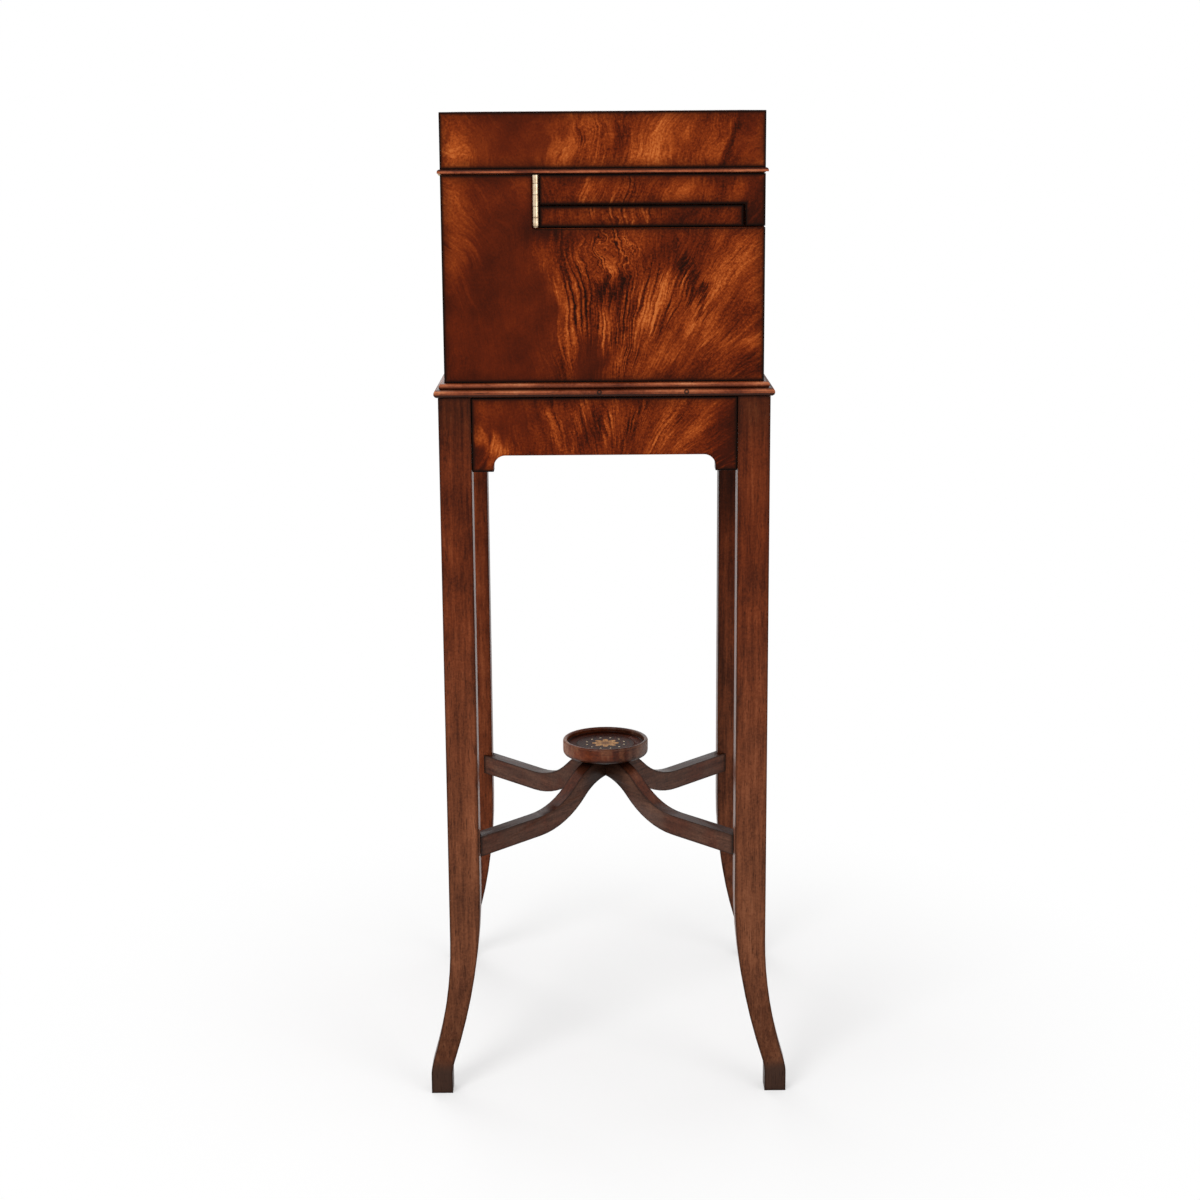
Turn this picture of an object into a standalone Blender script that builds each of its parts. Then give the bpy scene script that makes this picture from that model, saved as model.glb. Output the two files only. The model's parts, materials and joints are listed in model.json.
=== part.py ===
"""Dressing box on a stand.

A lidded case in flame mahogany stands on four legs with sabre feet, tied by two crossed
stretcher rails that rise to a small turned dish. Two swing arms are let into the top of
each side of the case: an L-shaped upper arm and a straight lower arm nested inside it,
both turning on one five-knuckle hinge. Lengths are in metres, +Z is up, the front looks
along -Y, and the origin is on the floor under the middle of the case.
"""

import math

import bmesh
import bpy
from mathutils import Matrix

# Fits
FIT = 0.0003
PIN_CLEARANCE = 0.00008
KNUCKLE_GAP = 0.0002

# Case
BODY_WIDTH = 0.324
BODY_DEPTH = 0.300
CASE_HEIGHT = 0.2052
WALL = 0.018
BOTTOM_THICKNESS = 0.010
LINING_THICKNESS = 0.0025
DIVIDER_THICKNESS = 0.006
DIVIDER_HEIGHT = 0.075
FRONT_ROW_DEPTH = 0.150
CROSS_DIVIDERS = 2

# Lid
LID_HEIGHT = 0.0561
LID_WALL = 0.012
LID_PANEL_THICKNESS = 0.009
LID_PANEL_BORDER = 0.006
LID_BEAD_RAISE = 0.0010
LID_BEAD_HEIGHT = 0.0036
LID_BEAD_PROUD = 0.0026
MIRROR_THICKNESS = 0.003
MIRROR_FRAME_WIDTH = 0.016
MIRROR_FRAME_THICKNESS = 0.008
MIRROR_LAP = 0.005

# Stand
LEG_HEIGHT = 0.6917
LEG_SIZE = 0.0305
LEG_PROUD = 0.0060
LEG_EDGE = 0.0008
FOOT_SIZE = 0.021
FOOT_HEIGHT = 0.019
FOOT_FLARE = 0.020
SABRE_OUTER_TOP = 0.150
SABRE_INNER_TOP = 0.200
ANKLE_RADIUS = 0.042
APRON_THICKNESS = 0.016
APRON_HEIGHT = 0.0548
APRON_SETBACK = 0.0010
BRACKET_DROP = 0.0154
BRACKET_LENGTH = 0.0206
BRACKET_RADIUS = 0.0108
MOULD_LOW_RADIUS = 0.0039
MOULD_LOW_PROUD = 0.0100
MOULD_UP_RADIUS = 0.0032
MOULD_UP_PROUD = 0.0052
MOULD_GROOVE_ANGLE = 60

# Stretcher
RAIL_BOTTOM = 0.2328
RAIL_HEIGHT = 0.0205
RAIL_WIDTH = 0.014
RAIL_RISE = 0.0417
RAIL_RUN = 0.107
RAIL_CROWN_RADIUS = 0.068
RAIL_EDGE = 0.0010
DISH_RADIUS = 0.0445
DISH_HEIGHT = 0.0165
DISH_RIM = 0.0042
DISH_RECESS = 0.0055
DISH_FOOT_ROUND = 0.0045
INLAY_RADIUS = 0.030
INLAY_THICKNESS = 0.0012

# Swing arms
ARM_THICKNESS = 0.0125
ARM_BAY_HEIGHT = 0.0492
ARM_GAP = 0.0011
ARM_END_GAP = 0.0018
UPPER_ARM_RAIL = 0.0276
UPPER_ARM_DROP = 0.0185
ARM_EDGE = 0.0005
ARM_HINGE_TO_FRONT = 0.2123
ARM_AXIS_OUT = 0.0010
ARM_KNUCKLE_RADIUS = 0.0030
ARM_KNUCKLE_END = 0.0078
ARM_LEAF_THICKNESS = 0.0011
ARM_LEAF_WIDTH = 0.0125
ARM_PIN_RADIUS = 0.0013
ARM_PIN_TIP = 0.0020

# Lid hinges
LID_HINGE_LENGTH = 0.045
LID_HINGE_INSET = 0.045
LID_KNUCKLE_RADIUS = 0.0024
LID_KNUCKLE_END = 0.009
LID_LEAF_THICKNESS = 0.0010
LID_LEAF_WIDTH = 0.0140
LID_PIN_RADIUS = 0.0010

# Facets, and the angles above which an edge is softened or kept sharp
ROUND_STEPS = 16
DISH_STEPS = 48
BEND_STEPS = 8
EDGE_STEPS = 4
SOFTEN_ANGLE = 50
SHARP_ANGLE = 40
WELD = 0.000001

# Derived levels and places
CASE_BOTTOM = LEG_HEIGHT + FIT
CASE_TOP = CASE_BOTTOM + CASE_HEIGHT
LID_BOTTOM = CASE_TOP + FIT
LID_TOP = LID_BOTTOM + LID_HEIGHT
INSIDE_X = BODY_WIDTH / 2 - WALL
INSIDE_Y = BODY_DEPTH / 2 - WALL
FLOOR_TOP = CASE_BOTTOM + BOTTOM_THICKNESS + FIT + LINING_THICKNESS
LEG_OUT_X = BODY_WIDTH / 2 + LEG_PROUD
LEG_OUT_Y = BODY_DEPTH / 2 + LEG_PROUD
LEG_IN_X = LEG_OUT_X - LEG_SIZE
LEG_IN_Y = LEG_OUT_Y - LEG_SIZE
RAIL_CROWN_TOP = RAIL_BOTTOM + RAIL_RISE + RAIL_HEIGHT
ARM_BAY_DEPTH = ARM_THICKNESS + FIT
ARM_BAY_FLOOR = CASE_TOP - ARM_BAY_HEIGHT
ARM_TOP = CASE_TOP - FIT
ARM_BOTTOM = ARM_BAY_FLOOR + ARM_GAP
ARM_AXIS_Y = ARM_HINGE_TO_FRONT - BODY_DEPTH / 2
ARM_HINGE_SPACE = ARM_KNUCKLE_RADIUS + FIT
LOWER_ARM_TOP = ARM_TOP - UPPER_ARM_RAIL - ARM_GAP
LID_AXIS_Y = BODY_DEPTH / 2 + LID_KNUCKLE_RADIUS + FIT
LID_AXIS_Z = (CASE_TOP + LID_BOTTOM) / 2

# Sides of the case, a quarter turn apart
SIDES = ("front", "right", "back", "left")

# Drawn size of the empties that mark the joint axes
AXIS_MARK = 0.030

MATERIALS = {
    "flame_mahogany": ((0.165, 0.048, 0.014), 0.28, 0.0),
    "plain_mahogany": ((0.110, 0.038, 0.018), 0.34, 0.0),
    "inner_mahogany": ((0.140, 0.055, 0.028), 0.50, 0.0),
    "pale_metal": ((0.720, 0.660, 0.540), 0.30, 1.0),
    "mirror_glass": ((0.880, 0.890, 0.890), 0.04, 1.0),
    "lining_cloth": ((0.070, 0.012, 0.014), 0.90, 0.0),
    "inlay_wood": ((0.420, 0.250, 0.100), 0.35, 0.0),
}


def clear_scene():
    for item in list(bpy.data.objects):
        bpy.data.objects.remove(item, do_unlink=True)


def new_collection(name):
    collection = bpy.data.collections.new(name)
    bpy.context.scene.collection.children.link(collection)
    return collection


def make_materials():
    made = {}
    for name, (colour, roughness, metallic) in MATERIALS.items():
        material = bpy.data.materials.new(name)
        material.use_nodes = True
        shader = material.node_tree.nodes["Principled BSDF"]
        shader.inputs["Base Color"].default_value = (*colour, 1.0)
        shader.inputs["Roughness"].default_value = roughness
        shader.inputs["Metallic"].default_value = metallic
        made[name] = material
    return made


clear_scene()
PARTS = new_collection("dressing_box")
CUTTERS = new_collection("cutters")
FINISH = make_materials()


def add_part(name, mesh, finish, parent=None):
    part = bpy.data.objects.new(name, mesh)
    PARTS.objects.link(part)
    if not mesh.materials:
        mesh.materials.append(FINISH[finish])
    if parent is not None:
        part.parent = parent
        part.matrix_parent_inverse = parent.matrix_basis.inverted()
    return part


def add_cutter(name, mesh):
    cutter = bpy.data.objects.new(name, mesh)
    CUTTERS.objects.link(cutter)
    cutter.hide_render = True
    cutter.display_type = "WIRE"
    return cutter


def add_axis(name, place):
    """Empty on a joint's axis, which carries the pieces that turn with it."""
    axis = bpy.data.objects.new(name, None)
    axis.location = place
    axis.empty_display_size = AXIS_MARK
    PARTS.objects.link(axis)
    return axis


def combine(part, other, operation):
    change = part.modifiers.new(operation.lower(), "BOOLEAN")
    change.object = other
    change.operation = operation
    change.solver = "EXACT"


def soften(part, width):
    bevel = part.modifiers.new("edges", "BEVEL")
    bevel.width = width
    bevel.segments = 1
    bevel.limit_method = "ANGLE"
    bevel.angle_limit = math.radians(SOFTEN_ANGLE)


def smooth(mesh):
    mesh.shade_smooth()
    mesh.set_sharp_from_angle(angle=math.radians(SHARP_ANGLE))


def evaluated_mesh(item):
    graph = bpy.context.evaluated_depsgraph_get()
    return bpy.data.meshes.new_from_object(item.evaluated_get(graph))


def outline_mesh(name, points, thickness):
    """Solid with a flat outline in local XY, as thick as stated along local Z."""
    curve = bpy.data.curves.new(name, "CURVE")
    curve.dimensions = "2D"
    curve.fill_mode = "BOTH"
    curve.extrude = thickness / 2
    spline = curve.splines.new("POLY")
    spline.points.add(len(points) - 1)
    for point, (x, y) in zip(spline.points, points):
        point.co = (x, y, 0.0, 1.0)
    spline.use_cyclic_u = True
    shape = bpy.data.objects.new(name, curve)
    bpy.context.scene.collection.objects.link(shape)
    mesh = evaluated_mesh(shape)
    bpy.data.objects.remove(shape, do_unlink=True)
    work = bmesh.new()
    work.from_mesh(mesh)
    bmesh.ops.remove_doubles(work, verts=work.verts, dist=WELD)
    bmesh.ops.recalc_face_normals(work, faces=work.faces)
    work.to_mesh(mesh)
    work.free()
    mesh.name = name
    return mesh


def box_mesh(name, low, high):
    mesh = bpy.data.meshes.new(name)
    work = bmesh.new()
    size = [b - a for a, b in zip(low, high)]
    middle = [(a + b) / 2 for a, b in zip(low, high)]
    bmesh.ops.create_cube(work, size=1.0, matrix=Matrix.LocRotScale(middle, None, size))
    work.to_mesh(mesh)
    work.free()
    return mesh


def cylinders_mesh(name, radius, spans):
    """Round bars on local Z, one for each (bottom, top) span."""
    mesh = bpy.data.meshes.new(name)
    work = bmesh.new()
    for bottom, top in spans:
        bmesh.ops.create_cone(
            work,
            cap_ends=True,
            segments=ROUND_STEPS,
            radius1=radius,
            radius2=radius,
            depth=top - bottom,
            matrix=Matrix.Translation((0, 0, (bottom + top) / 2)),
        )
    work.to_mesh(mesh)
    work.free()
    return mesh


def turned_part(name, profile, steps, finish, place):
    """Turned piece: the profile of (radius, height) runs down its outer side, top to bottom."""
    mesh = bpy.data.meshes.new(name)
    edges = [(i, i + 1) for i in range(len(profile) - 1)]
    mesh.from_pydata([(radius, 0.0, height) for radius, height in profile], edges, [])
    part = add_part(name, mesh, finish)
    part.location = place
    screw = part.modifiers.new("turn", "SCREW")
    screw.steps = steps
    screw.render_steps = steps
    screw.use_merge_vertices = True
    screw.merge_threshold = WELD
    screw.use_smooth_shade = True
    return part


def arc(x, y, radius, start, end, steps):
    """Points on an arc, with its angles in degrees."""
    angles = [math.radians(start + (end - start) * i / steps) for i in range(steps + 1)]
    return [(x + radius * math.cos(a), y + radius * math.sin(a)) for a in angles]


def ogee(run, rise, end_radius, offset=0.0):
    """Double bend from (0, 0) to (run, rise), level at both ends, moved sideways by the offset."""
    turn = 2 * math.atan2(rise, run)
    start_radius = run / math.sin(turn) - end_radius
    points = []
    for i in range(BEND_STEPS + 1):
        a = turn * i / BEND_STEPS
        reach = start_radius - offset
        points.append((reach * math.sin(a), start_radius - reach * math.cos(a)))
    for i in range(BEND_STEPS - 1, -1, -1):
        a = turn * i / BEND_STEPS
        reach = end_radius + offset
        points.append((run - reach * math.sin(a), rise - end_radius + reach * math.cos(a)))
    return points


def half_sizes(side):
    """Half the length of a side of the case, and its face's distance from the middle."""
    if side in ("front", "back"):
        return BODY_WIDTH / 2, BODY_DEPTH / 2
    return BODY_DEPTH / 2, BODY_WIDTH / 2


def turn_to_side(part, side):
    part.rotation_euler = (0, 0, math.radians(90) * SIDES.index(side))


def mitred_strip(name, side, outline, finish, parent=None):
    """Strip along one side of the case, mitred at both ends.

    The outline holds (outward, height) points, outward being measured from the case's face.
    """
    span, face = half_sizes(side)
    mesh = outline_mesh(name, outline, 2 * span)
    for vertex in mesh.vertices:
        outward, height, along = vertex.co
        end = span + outward - FIT / math.sqrt(2)
        vertex.co = (math.copysign(end, along), -(face + outward), height)
    work = bmesh.new()
    work.from_mesh(mesh)
    bmesh.ops.recalc_face_normals(work, faces=work.faces)
    work.to_mesh(mesh)
    work.free()
    strip = add_part(name, mesh, finish, parent)
    turn_to_side(strip, side)
    return strip


# Stand


def leg_mesh():
    """Square leg whose foot sweeps out both ways, with its outer corner at local (0, 0)."""
    outer = ogee(SABRE_OUTER_TOP - FOOT_HEIGHT, FOOT_FLARE, ANKLE_RADIUS)
    inner_shift = FOOT_FLARE - FOOT_SIZE + LEG_SIZE
    inner = ogee(SABRE_INNER_TOP - FOOT_HEIGHT, inner_shift, ANKLE_RADIUS)
    profile = [(0, LEG_HEIGHT)]
    profile += [(out, SABRE_OUTER_TOP - down) for down, out in outer]
    profile += [(FOOT_FLARE, 0), (FOOT_FLARE - FOOT_SIZE, 0)]
    profile += [(out - LEG_SIZE, SABRE_INNER_TOP - down) for down, out in reversed(inner)]
    profile += [(-LEG_SIZE, LEG_HEIGHT)]
    reach = 2 * (LEG_SIZE + FOOT_FLARE)
    upright = Matrix.Rotation(math.radians(90), 4, "X")
    first = outline_mesh("leg_profile_x", profile, reach)
    first.transform(upright)
    second = outline_mesh("leg_profile_y", profile, reach)
    second.transform(Matrix.Rotation(math.radians(90), 4, "Z") @ upright)
    blank = add_cutter("leg_blank_x", first)
    other = add_cutter("leg_blank_y", second)
    combine(blank, other, "INTERSECT")
    soften(blank, LEG_EDGE)
    mesh = evaluated_mesh(blank)
    work = bmesh.new()
    work.from_mesh(mesh)
    bmesh.ops.remove_doubles(work, verts=work.verts, dist=WELD)
    bmesh.ops.triangulate(work, faces=work.faces)
    work.to_mesh(mesh)
    work.free()
    mesh.name = "leg"
    mesh.materials.append(FINISH["plain_mahogany"])
    smooth(mesh)
    for item in (blank, other):
        bpy.data.objects.remove(item, do_unlink=True)
    return mesh


def make_legs():
    mesh = leg_mesh()
    corners = (("back_right", 1, 1), ("back_left", -1, 1), ("front_left", -1, -1), ("front_right", 1, -1))
    for turns, (corner, x, y) in enumerate(corners):
        leg = add_part("leg_" + corner, mesh, "plain_mahogany")
        leg.location = (x * LEG_OUT_X, y * LEG_OUT_Y, 0)
        leg.rotation_euler = (0, 0, math.radians(90) * turns)


def make_apron(side):
    """Rail between two legs, with a bracket at each end of its lower edge."""
    reach = (LEG_IN_X if side in ("front", "back") else LEG_IN_Y) - FIT
    out = LEG_OUT_Y if side in ("front", "back") else LEG_OUT_X
    low = LEG_HEIGHT - APRON_HEIGHT
    foot = low - BRACKET_DROP
    inner = reach - BRACKET_LENGTH
    curve = arc(inner - BRACKET_RADIUS, low - BRACKET_RADIUS, BRACKET_RADIUS, 0, 90, BEND_STEPS)
    right = [(reach, LEG_HEIGHT), (reach, foot), (inner, foot)] + curve
    outline = right + [(-x, z) for x, z in reversed(right)]
    mesh = outline_mesh("apron_" + side, outline, APRON_THICKNESS)
    mesh.transform(Matrix.Rotation(math.radians(90), 4, "X"))
    mesh.transform(Matrix.Translation((0, APRON_SETBACK + APRON_THICKNESS / 2 - out, 0)))
    smooth(mesh)
    turn_to_side(add_part("apron_" + side, mesh, "flame_mahogany"), side)


def make_base_moulding(side):
    """Two reeds, the lower one larger, round the foot of the case."""
    low_x = MOULD_LOW_PROUD - MOULD_LOW_RADIUS
    up_x = MOULD_UP_PROUD - MOULD_UP_RADIUS
    groove = math.sin(math.radians(MOULD_GROOVE_ANGLE))
    low_z = CASE_BOTTOM + MOULD_LOW_RADIUS
    up_z = low_z + groove * (MOULD_LOW_RADIUS + MOULD_UP_RADIUS)
    outline = [(FIT, CASE_BOTTOM)]
    outline += arc(low_x, low_z, MOULD_LOW_RADIUS, -90, 180 - MOULD_GROOVE_ANGLE, BEND_STEPS)
    outline += arc(up_x, up_z, MOULD_UP_RADIUS, -MOULD_GROOVE_ANGLE, 90, BEND_STEPS)
    outline += [(FIT, up_z + MOULD_UP_RADIUS)]
    strip = mitred_strip("base_moulding_" + side, side, outline, "plain_mahogany")
    smooth(strip.data)


def leg_corner_cutters():
    """Blocks a fit larger than the legs, for the bird's-mouth ends of the stretcher rails."""
    cutters = []
    for x in (-1, 1):
        for y in (-1, 1):
            near = (x * (LEG_IN_X - FIT), y * (LEG_IN_Y - FIT), 0)
            far = (x * 2 * LEG_OUT_X, y * 2 * LEG_OUT_Y, LEG_HEIGHT)
            low = [min(a, b) for a, b in zip(near, far)]
            high = [max(a, b) for a, b in zip(near, far)]
            cutters.append(add_cutter("leg_corner", box_mesh("leg_corner", low, high)))
    return cutters


def rail_outline(reach):
    """Level at the legs, then an ogee up to the crown on both sides of the crossing."""
    middle = RAIL_BOTTOM + RAIL_HEIGHT / 2
    outline = []
    for offset, order in ((RAIL_HEIGHT / 2, 1), (-RAIL_HEIGHT / 2, -1)):
        bend = ogee(RAIL_RUN, RAIL_RISE, RAIL_CROWN_RADIUS, offset)
        left = [(-reach, middle + offset)] + [(s - RAIL_RUN, middle + z) for s, z in bend]
        whole = left + [(-s, z) for s, z in reversed(left[:-1])]
        outline += whole[::order]
    return outline


def make_stretcher():
    """Two rails halved over each other, each running between opposite legs."""
    heading = math.atan2(LEG_IN_Y, LEG_IN_X)
    reach = math.hypot(LEG_IN_X, LEG_IN_Y) + RAIL_WIDTH / 2
    corners = leg_corner_cutters()
    half = RAIL_CROWN_TOP - RAIL_HEIGHT / 2
    notch_reach = 3 * RAIL_WIDTH
    notch_width = RAIL_WIDTH / 2 + FIT
    rails = (
        ("stretcher_rail_rising_right", heading, half - FIT / 2, half + RAIL_HEIGHT),
        ("stretcher_rail_rising_left", -heading, half - RAIL_HEIGHT, half + FIT / 2),
    )
    for name, angle, low, high in rails:
        mesh = outline_mesh(name, rail_outline(reach), RAIL_WIDTH)
        mesh.transform(Matrix.Rotation(math.radians(90), 4, "X"))
        rail = add_part(name, mesh, "plain_mahogany")
        rail.rotation_euler = (0, 0, angle)
        corner_low = (-notch_reach, -notch_width, low)
        notch = add_cutter(name + "_halving", box_mesh(name, corner_low, (notch_reach, notch_width, high)))
        notch.rotation_euler = (0, 0, -angle)
        combine(rail, notch, "DIFFERENCE")
        for corner in corners:
            combine(rail, corner, "DIFFERENCE")
        soften(rail, RAIL_EDGE)
        smooth(mesh)


def make_dish():
    """Turned dish with a raised rim, and the inlaid disc let into its floor."""
    base = RAIL_CROWN_TOP + FIT
    floor = DISH_HEIGHT - DISH_RECESS
    inner = DISH_RADIUS - DISH_RIM
    edge = DISH_RIM / 2
    bed = floor - INLAY_THICKNESS - FIT
    profile = [(0, bed), (INLAY_RADIUS + FIT, bed), (INLAY_RADIUS + FIT, floor), (inner - edge, floor)]
    profile += arc(inner - edge, floor + edge, edge, -90, 0, EDGE_STEPS)[1:]
    profile += arc(inner + edge, DISH_HEIGHT - edge, edge, 180, 0, 2 * EDGE_STEPS)
    profile += arc(DISH_RADIUS - DISH_FOOT_ROUND, DISH_FOOT_ROUND, DISH_FOOT_ROUND, 0, -90, EDGE_STEPS)
    profile += [(0, 0)]
    turned_part("stretcher_dish", profile, DISH_STEPS, "plain_mahogany", (0, 0, base))
    inlay = [(0, floor), (INLAY_RADIUS, floor), (INLAY_RADIUS, floor - INLAY_THICKNESS)]
    inlay += [(0, floor - INLAY_THICKNESS)]
    turned_part("dish_inlay", inlay, DISH_STEPS, "inlay_wood", (0, 0, base))


# Case


def side_sign(side):
    return -1 if side == "left" else 1


def arm_axis(side):
    return side_sign(side) * (BODY_WIDTH / 2 + ARM_AXIS_OUT), ARM_AXIS_Y


def mirrored_box(name, side, low, high):
    """Box given for the right side of the case, mirrored across for the left."""
    if side == "left":
        low, high = (-high[0], low[1], low[2]), (-low[0], high[1], high[2])
    return box_mesh(name, low, high)


def arm_bay(side):
    """Bay that both arms of a side fold into: open at the front, the top and the outside."""
    inner = BODY_WIDTH / 2 - ARM_BAY_DEPTH
    low = (inner, -BODY_DEPTH, ARM_BAY_FLOOR)
    high = (BODY_WIDTH, ARM_AXIS_Y + ARM_HINGE_SPACE, LID_TOP)
    return add_cutter("arm_bay_" + side, mirrored_box("arm_bay_" + side, side, low, high))


def lid_hinge_places():
    place = BODY_WIDTH / 2 - LID_HINGE_INSET - LID_HINGE_LENGTH / 2
    return {"left": -place, "right": place}


def lid_hinge_recess(name, low_z, high_z):
    """Recesses for a leaf of each lid hinge in the edge of a back wall, open at the back."""
    cutters = []
    for side, x in lid_hinge_places().items():
        half = LID_HINGE_LENGTH / 2 + FIT
        inner = BODY_DEPTH / 2 - LID_LEAF_WIDTH - FIT
        corner_low = (x - half, inner, low_z)
        corner_high = (x + half, BODY_DEPTH, high_z)
        mesh = box_mesh(name + side, corner_low, corner_high)
        cutters.append(add_cutter(name + "_" + side, mesh))
    return cutters


def make_case():
    outline = [(0, CASE_BOTTOM), (0, CASE_TOP), (-WALL, CASE_TOP), (-WALL, CASE_BOTTOM)]
    walls = {}
    for side in SIDES:
        walls[side] = mitred_strip("case_" + side, side, outline, "flame_mahogany")
    for side in ("left", "right"):
        bay = arm_bay(side)
        combine(walls[side], bay, "DIFFERENCE")
        combine(walls["front"], bay, "DIFFERENCE")
    leaf_bed = CASE_TOP - LID_LEAF_THICKNESS - FIT
    for recess in lid_hinge_recess("case_leaf_recess", leaf_bed, LID_TOP):
        combine(walls["back"], recess, "DIFFERENCE")
    x = INSIDE_X - FIT
    y = INSIDE_Y - FIT
    board_top = CASE_BOTTOM + BOTTOM_THICKNESS
    board = box_mesh("case_bottom", (-x, -y, CASE_BOTTOM), (x, y, board_top))
    add_part("case_bottom", board, "inner_mahogany")
    lining = box_mesh("floor_lining", (-x, -y, board_top + FIT), (x, y, FLOOR_TOP))
    add_part("floor_lining", lining, "lining_cloth")


def make_dividers():
    low = FLOOR_TOP + FIT
    high = low + DIVIDER_HEIGHT
    x = INSIDE_X - FIT
    front = -INSIDE_Y + FIT
    row = front + FRONT_ROW_DEPTH
    long_mesh = box_mesh("divider_long", (-x, row, low), (x, row + DIVIDER_THICKNESS, high))
    add_part("divider_long", long_mesh, "inner_mahogany")
    pitch = 2 * INSIDE_X / (CROSS_DIVIDERS + 1)
    half = DIVIDER_THICKNESS / 2
    for i in range(CROSS_DIVIDERS):
        name = f"divider_cross_{i + 1}"
        middle = -INSIDE_X + pitch * (i + 1)
        mesh = box_mesh(name, (middle - half, front, low), (middle + half, row - FIT, high))
        add_part(name, mesh, "inner_mahogany")


# Lid


def make_lid(axis):
    ledge = LID_TOP - LID_PANEL_THICKNESS - FIT
    wall = [
        (0, LID_BOTTOM),
        (0, LID_TOP),
        (-LID_PANEL_BORDER, LID_TOP),
        (-LID_PANEL_BORDER, ledge),
        (-LID_WALL, ledge),
        (-LID_WALL, LID_BOTTOM),
    ]
    bead_low = LID_BOTTOM + LID_BEAD_RAISE
    round_x = LID_BEAD_PROUD - FIT
    bead_high = bead_low + LID_BEAD_HEIGHT
    bead = [(FIT, bead_low), (LID_BEAD_PROUD, bead_low)]
    bead += arc(FIT, bead_high - round_x, round_x, 0, 90, BEND_STEPS)
    walls = {}
    beads = {}
    for side in SIDES:
        walls[side] = mitred_strip("lid_" + side, side, wall, "flame_mahogany", axis)
        beads[side] = mitred_strip("lid_bead_" + side, side, bead, "plain_mahogany", axis)
        smooth(beads[side].data)
    leaf_bed = LID_BOTTOM + LID_LEAF_THICKNESS + FIT
    for recess in lid_hinge_recess("lid_leaf_recess", CASE_BOTTOM, leaf_bed):
        combine(walls["back"], recess, "DIFFERENCE")
    knuckle_top = LID_AXIS_Z + LID_KNUCKLE_RADIUS + 2 * FIT
    for recess in lid_hinge_recess("bead_knuckle_recess", CASE_BOTTOM, knuckle_top):
        combine(beads["back"], recess, "DIFFERENCE")
    x = BODY_WIDTH / 2 - LID_PANEL_BORDER - FIT
    y = BODY_DEPTH / 2 - LID_PANEL_BORDER - FIT
    panel = box_mesh("lid_panel", (-x, -y, ledge + FIT), (x, y, LID_TOP))
    add_part("lid_panel", panel, "flame_mahogany", axis)


def make_mirror(axis):
    """Mirror plate held against the lid panel by a rebated frame."""
    top = LID_TOP - LID_PANEL_THICKNESS - FIT
    low = top - MIRROR_FRAME_THICKNESS
    x = BODY_WIDTH / 2 - LID_WALL - FIT
    y = BODY_DEPTH / 2 - LID_WALL - FIT
    blank = box_mesh("mirror_frame", (-x, -y, low), (x, y, top))
    frame = add_part("mirror_frame", blank, "inner_mahogany", axis)
    sight_x = x - MIRROR_FRAME_WIDTH
    sight_y = y - MIRROR_FRAME_WIDTH
    sight = box_mesh("mirror_sight", (-sight_x, -sight_y, low - FIT), (sight_x, sight_y, top + FIT))
    combine(frame, add_cutter("mirror_sight", sight), "DIFFERENCE")
    glass_x = sight_x + MIRROR_LAP
    glass_y = sight_y + MIRROR_LAP
    bed = top - MIRROR_THICKNESS - FIT
    rebate_low = (-glass_x - FIT, -glass_y - FIT, bed)
    rebate = box_mesh("mirror_rebate", rebate_low, (glass_x + FIT, glass_y + FIT, top + FIT))
    combine(frame, add_cutter("mirror_rebate", rebate), "DIFFERENCE")
    plate = box_mesh("lid_mirror", (-glass_x, -glass_y, bed + FIT), (glass_x, glass_y, top))
    add_part("lid_mirror", plate, "mirror_glass", axis)


# Hinges


def knuckle_spans(length, end, count):
    """Knuckles from the lower end of a hinge up, with shorter ones at both ends."""
    inner = (length - 2 * end) / (count - 2)
    edges = [0.0] + [end + inner * i for i in range(count - 1)] + [length]
    gap = KNUCKLE_GAP / 2
    return [(edges[i] + gap, edges[i + 1] - gap) for i in range(count)]


def leaf_part(name, spans, plate, reach, thickness, radius, bore, parent):
    """Hinge leaf on local Z: a plate along local X with a tongue rolled into each knuckle.

    plate gives the plate's lower and upper ends, reach its near and far edges from the axis,
    and thickness its two faces along local Y. A negative reach makes the mirrored leaf.
    """
    near, far = reach
    low, high = plate
    comb = [(far, low), (near, low)]
    for bottom, top in spans:
        comb += [(near, bottom), (0, bottom), (0, top), (near, top)]
    comb += [(near, high), (far, high)]
    comb = [point for i, point in enumerate(comb) if i == 0 or point != comb[i - 1]]
    face, back = thickness
    mesh = outline_mesh(name, comb, back - face)
    mesh.transform(Matrix.Rotation(math.radians(90), 4, "X"))
    mesh.transform(Matrix.Translation((0, (face + back) / 2, 0)))
    leaf = add_part(name, mesh, "pale_metal", parent)
    knuckles = add_cutter(name + "_knuckles", cylinders_mesh(name, radius, spans))
    hole = (spans[0][0] - radius, spans[-1][1] + radius)
    drill = add_cutter(name + "_bore", cylinders_mesh(name, bore, [hole]))
    combine(leaf, knuckles, "UNION")
    combine(leaf, drill, "DIFFERENCE")
    return leaf, (knuckles, drill)


def set_place(leaf, cutters, matrix):
    for item in (leaf, *cutters):
        item.matrix_basis = matrix


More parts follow.
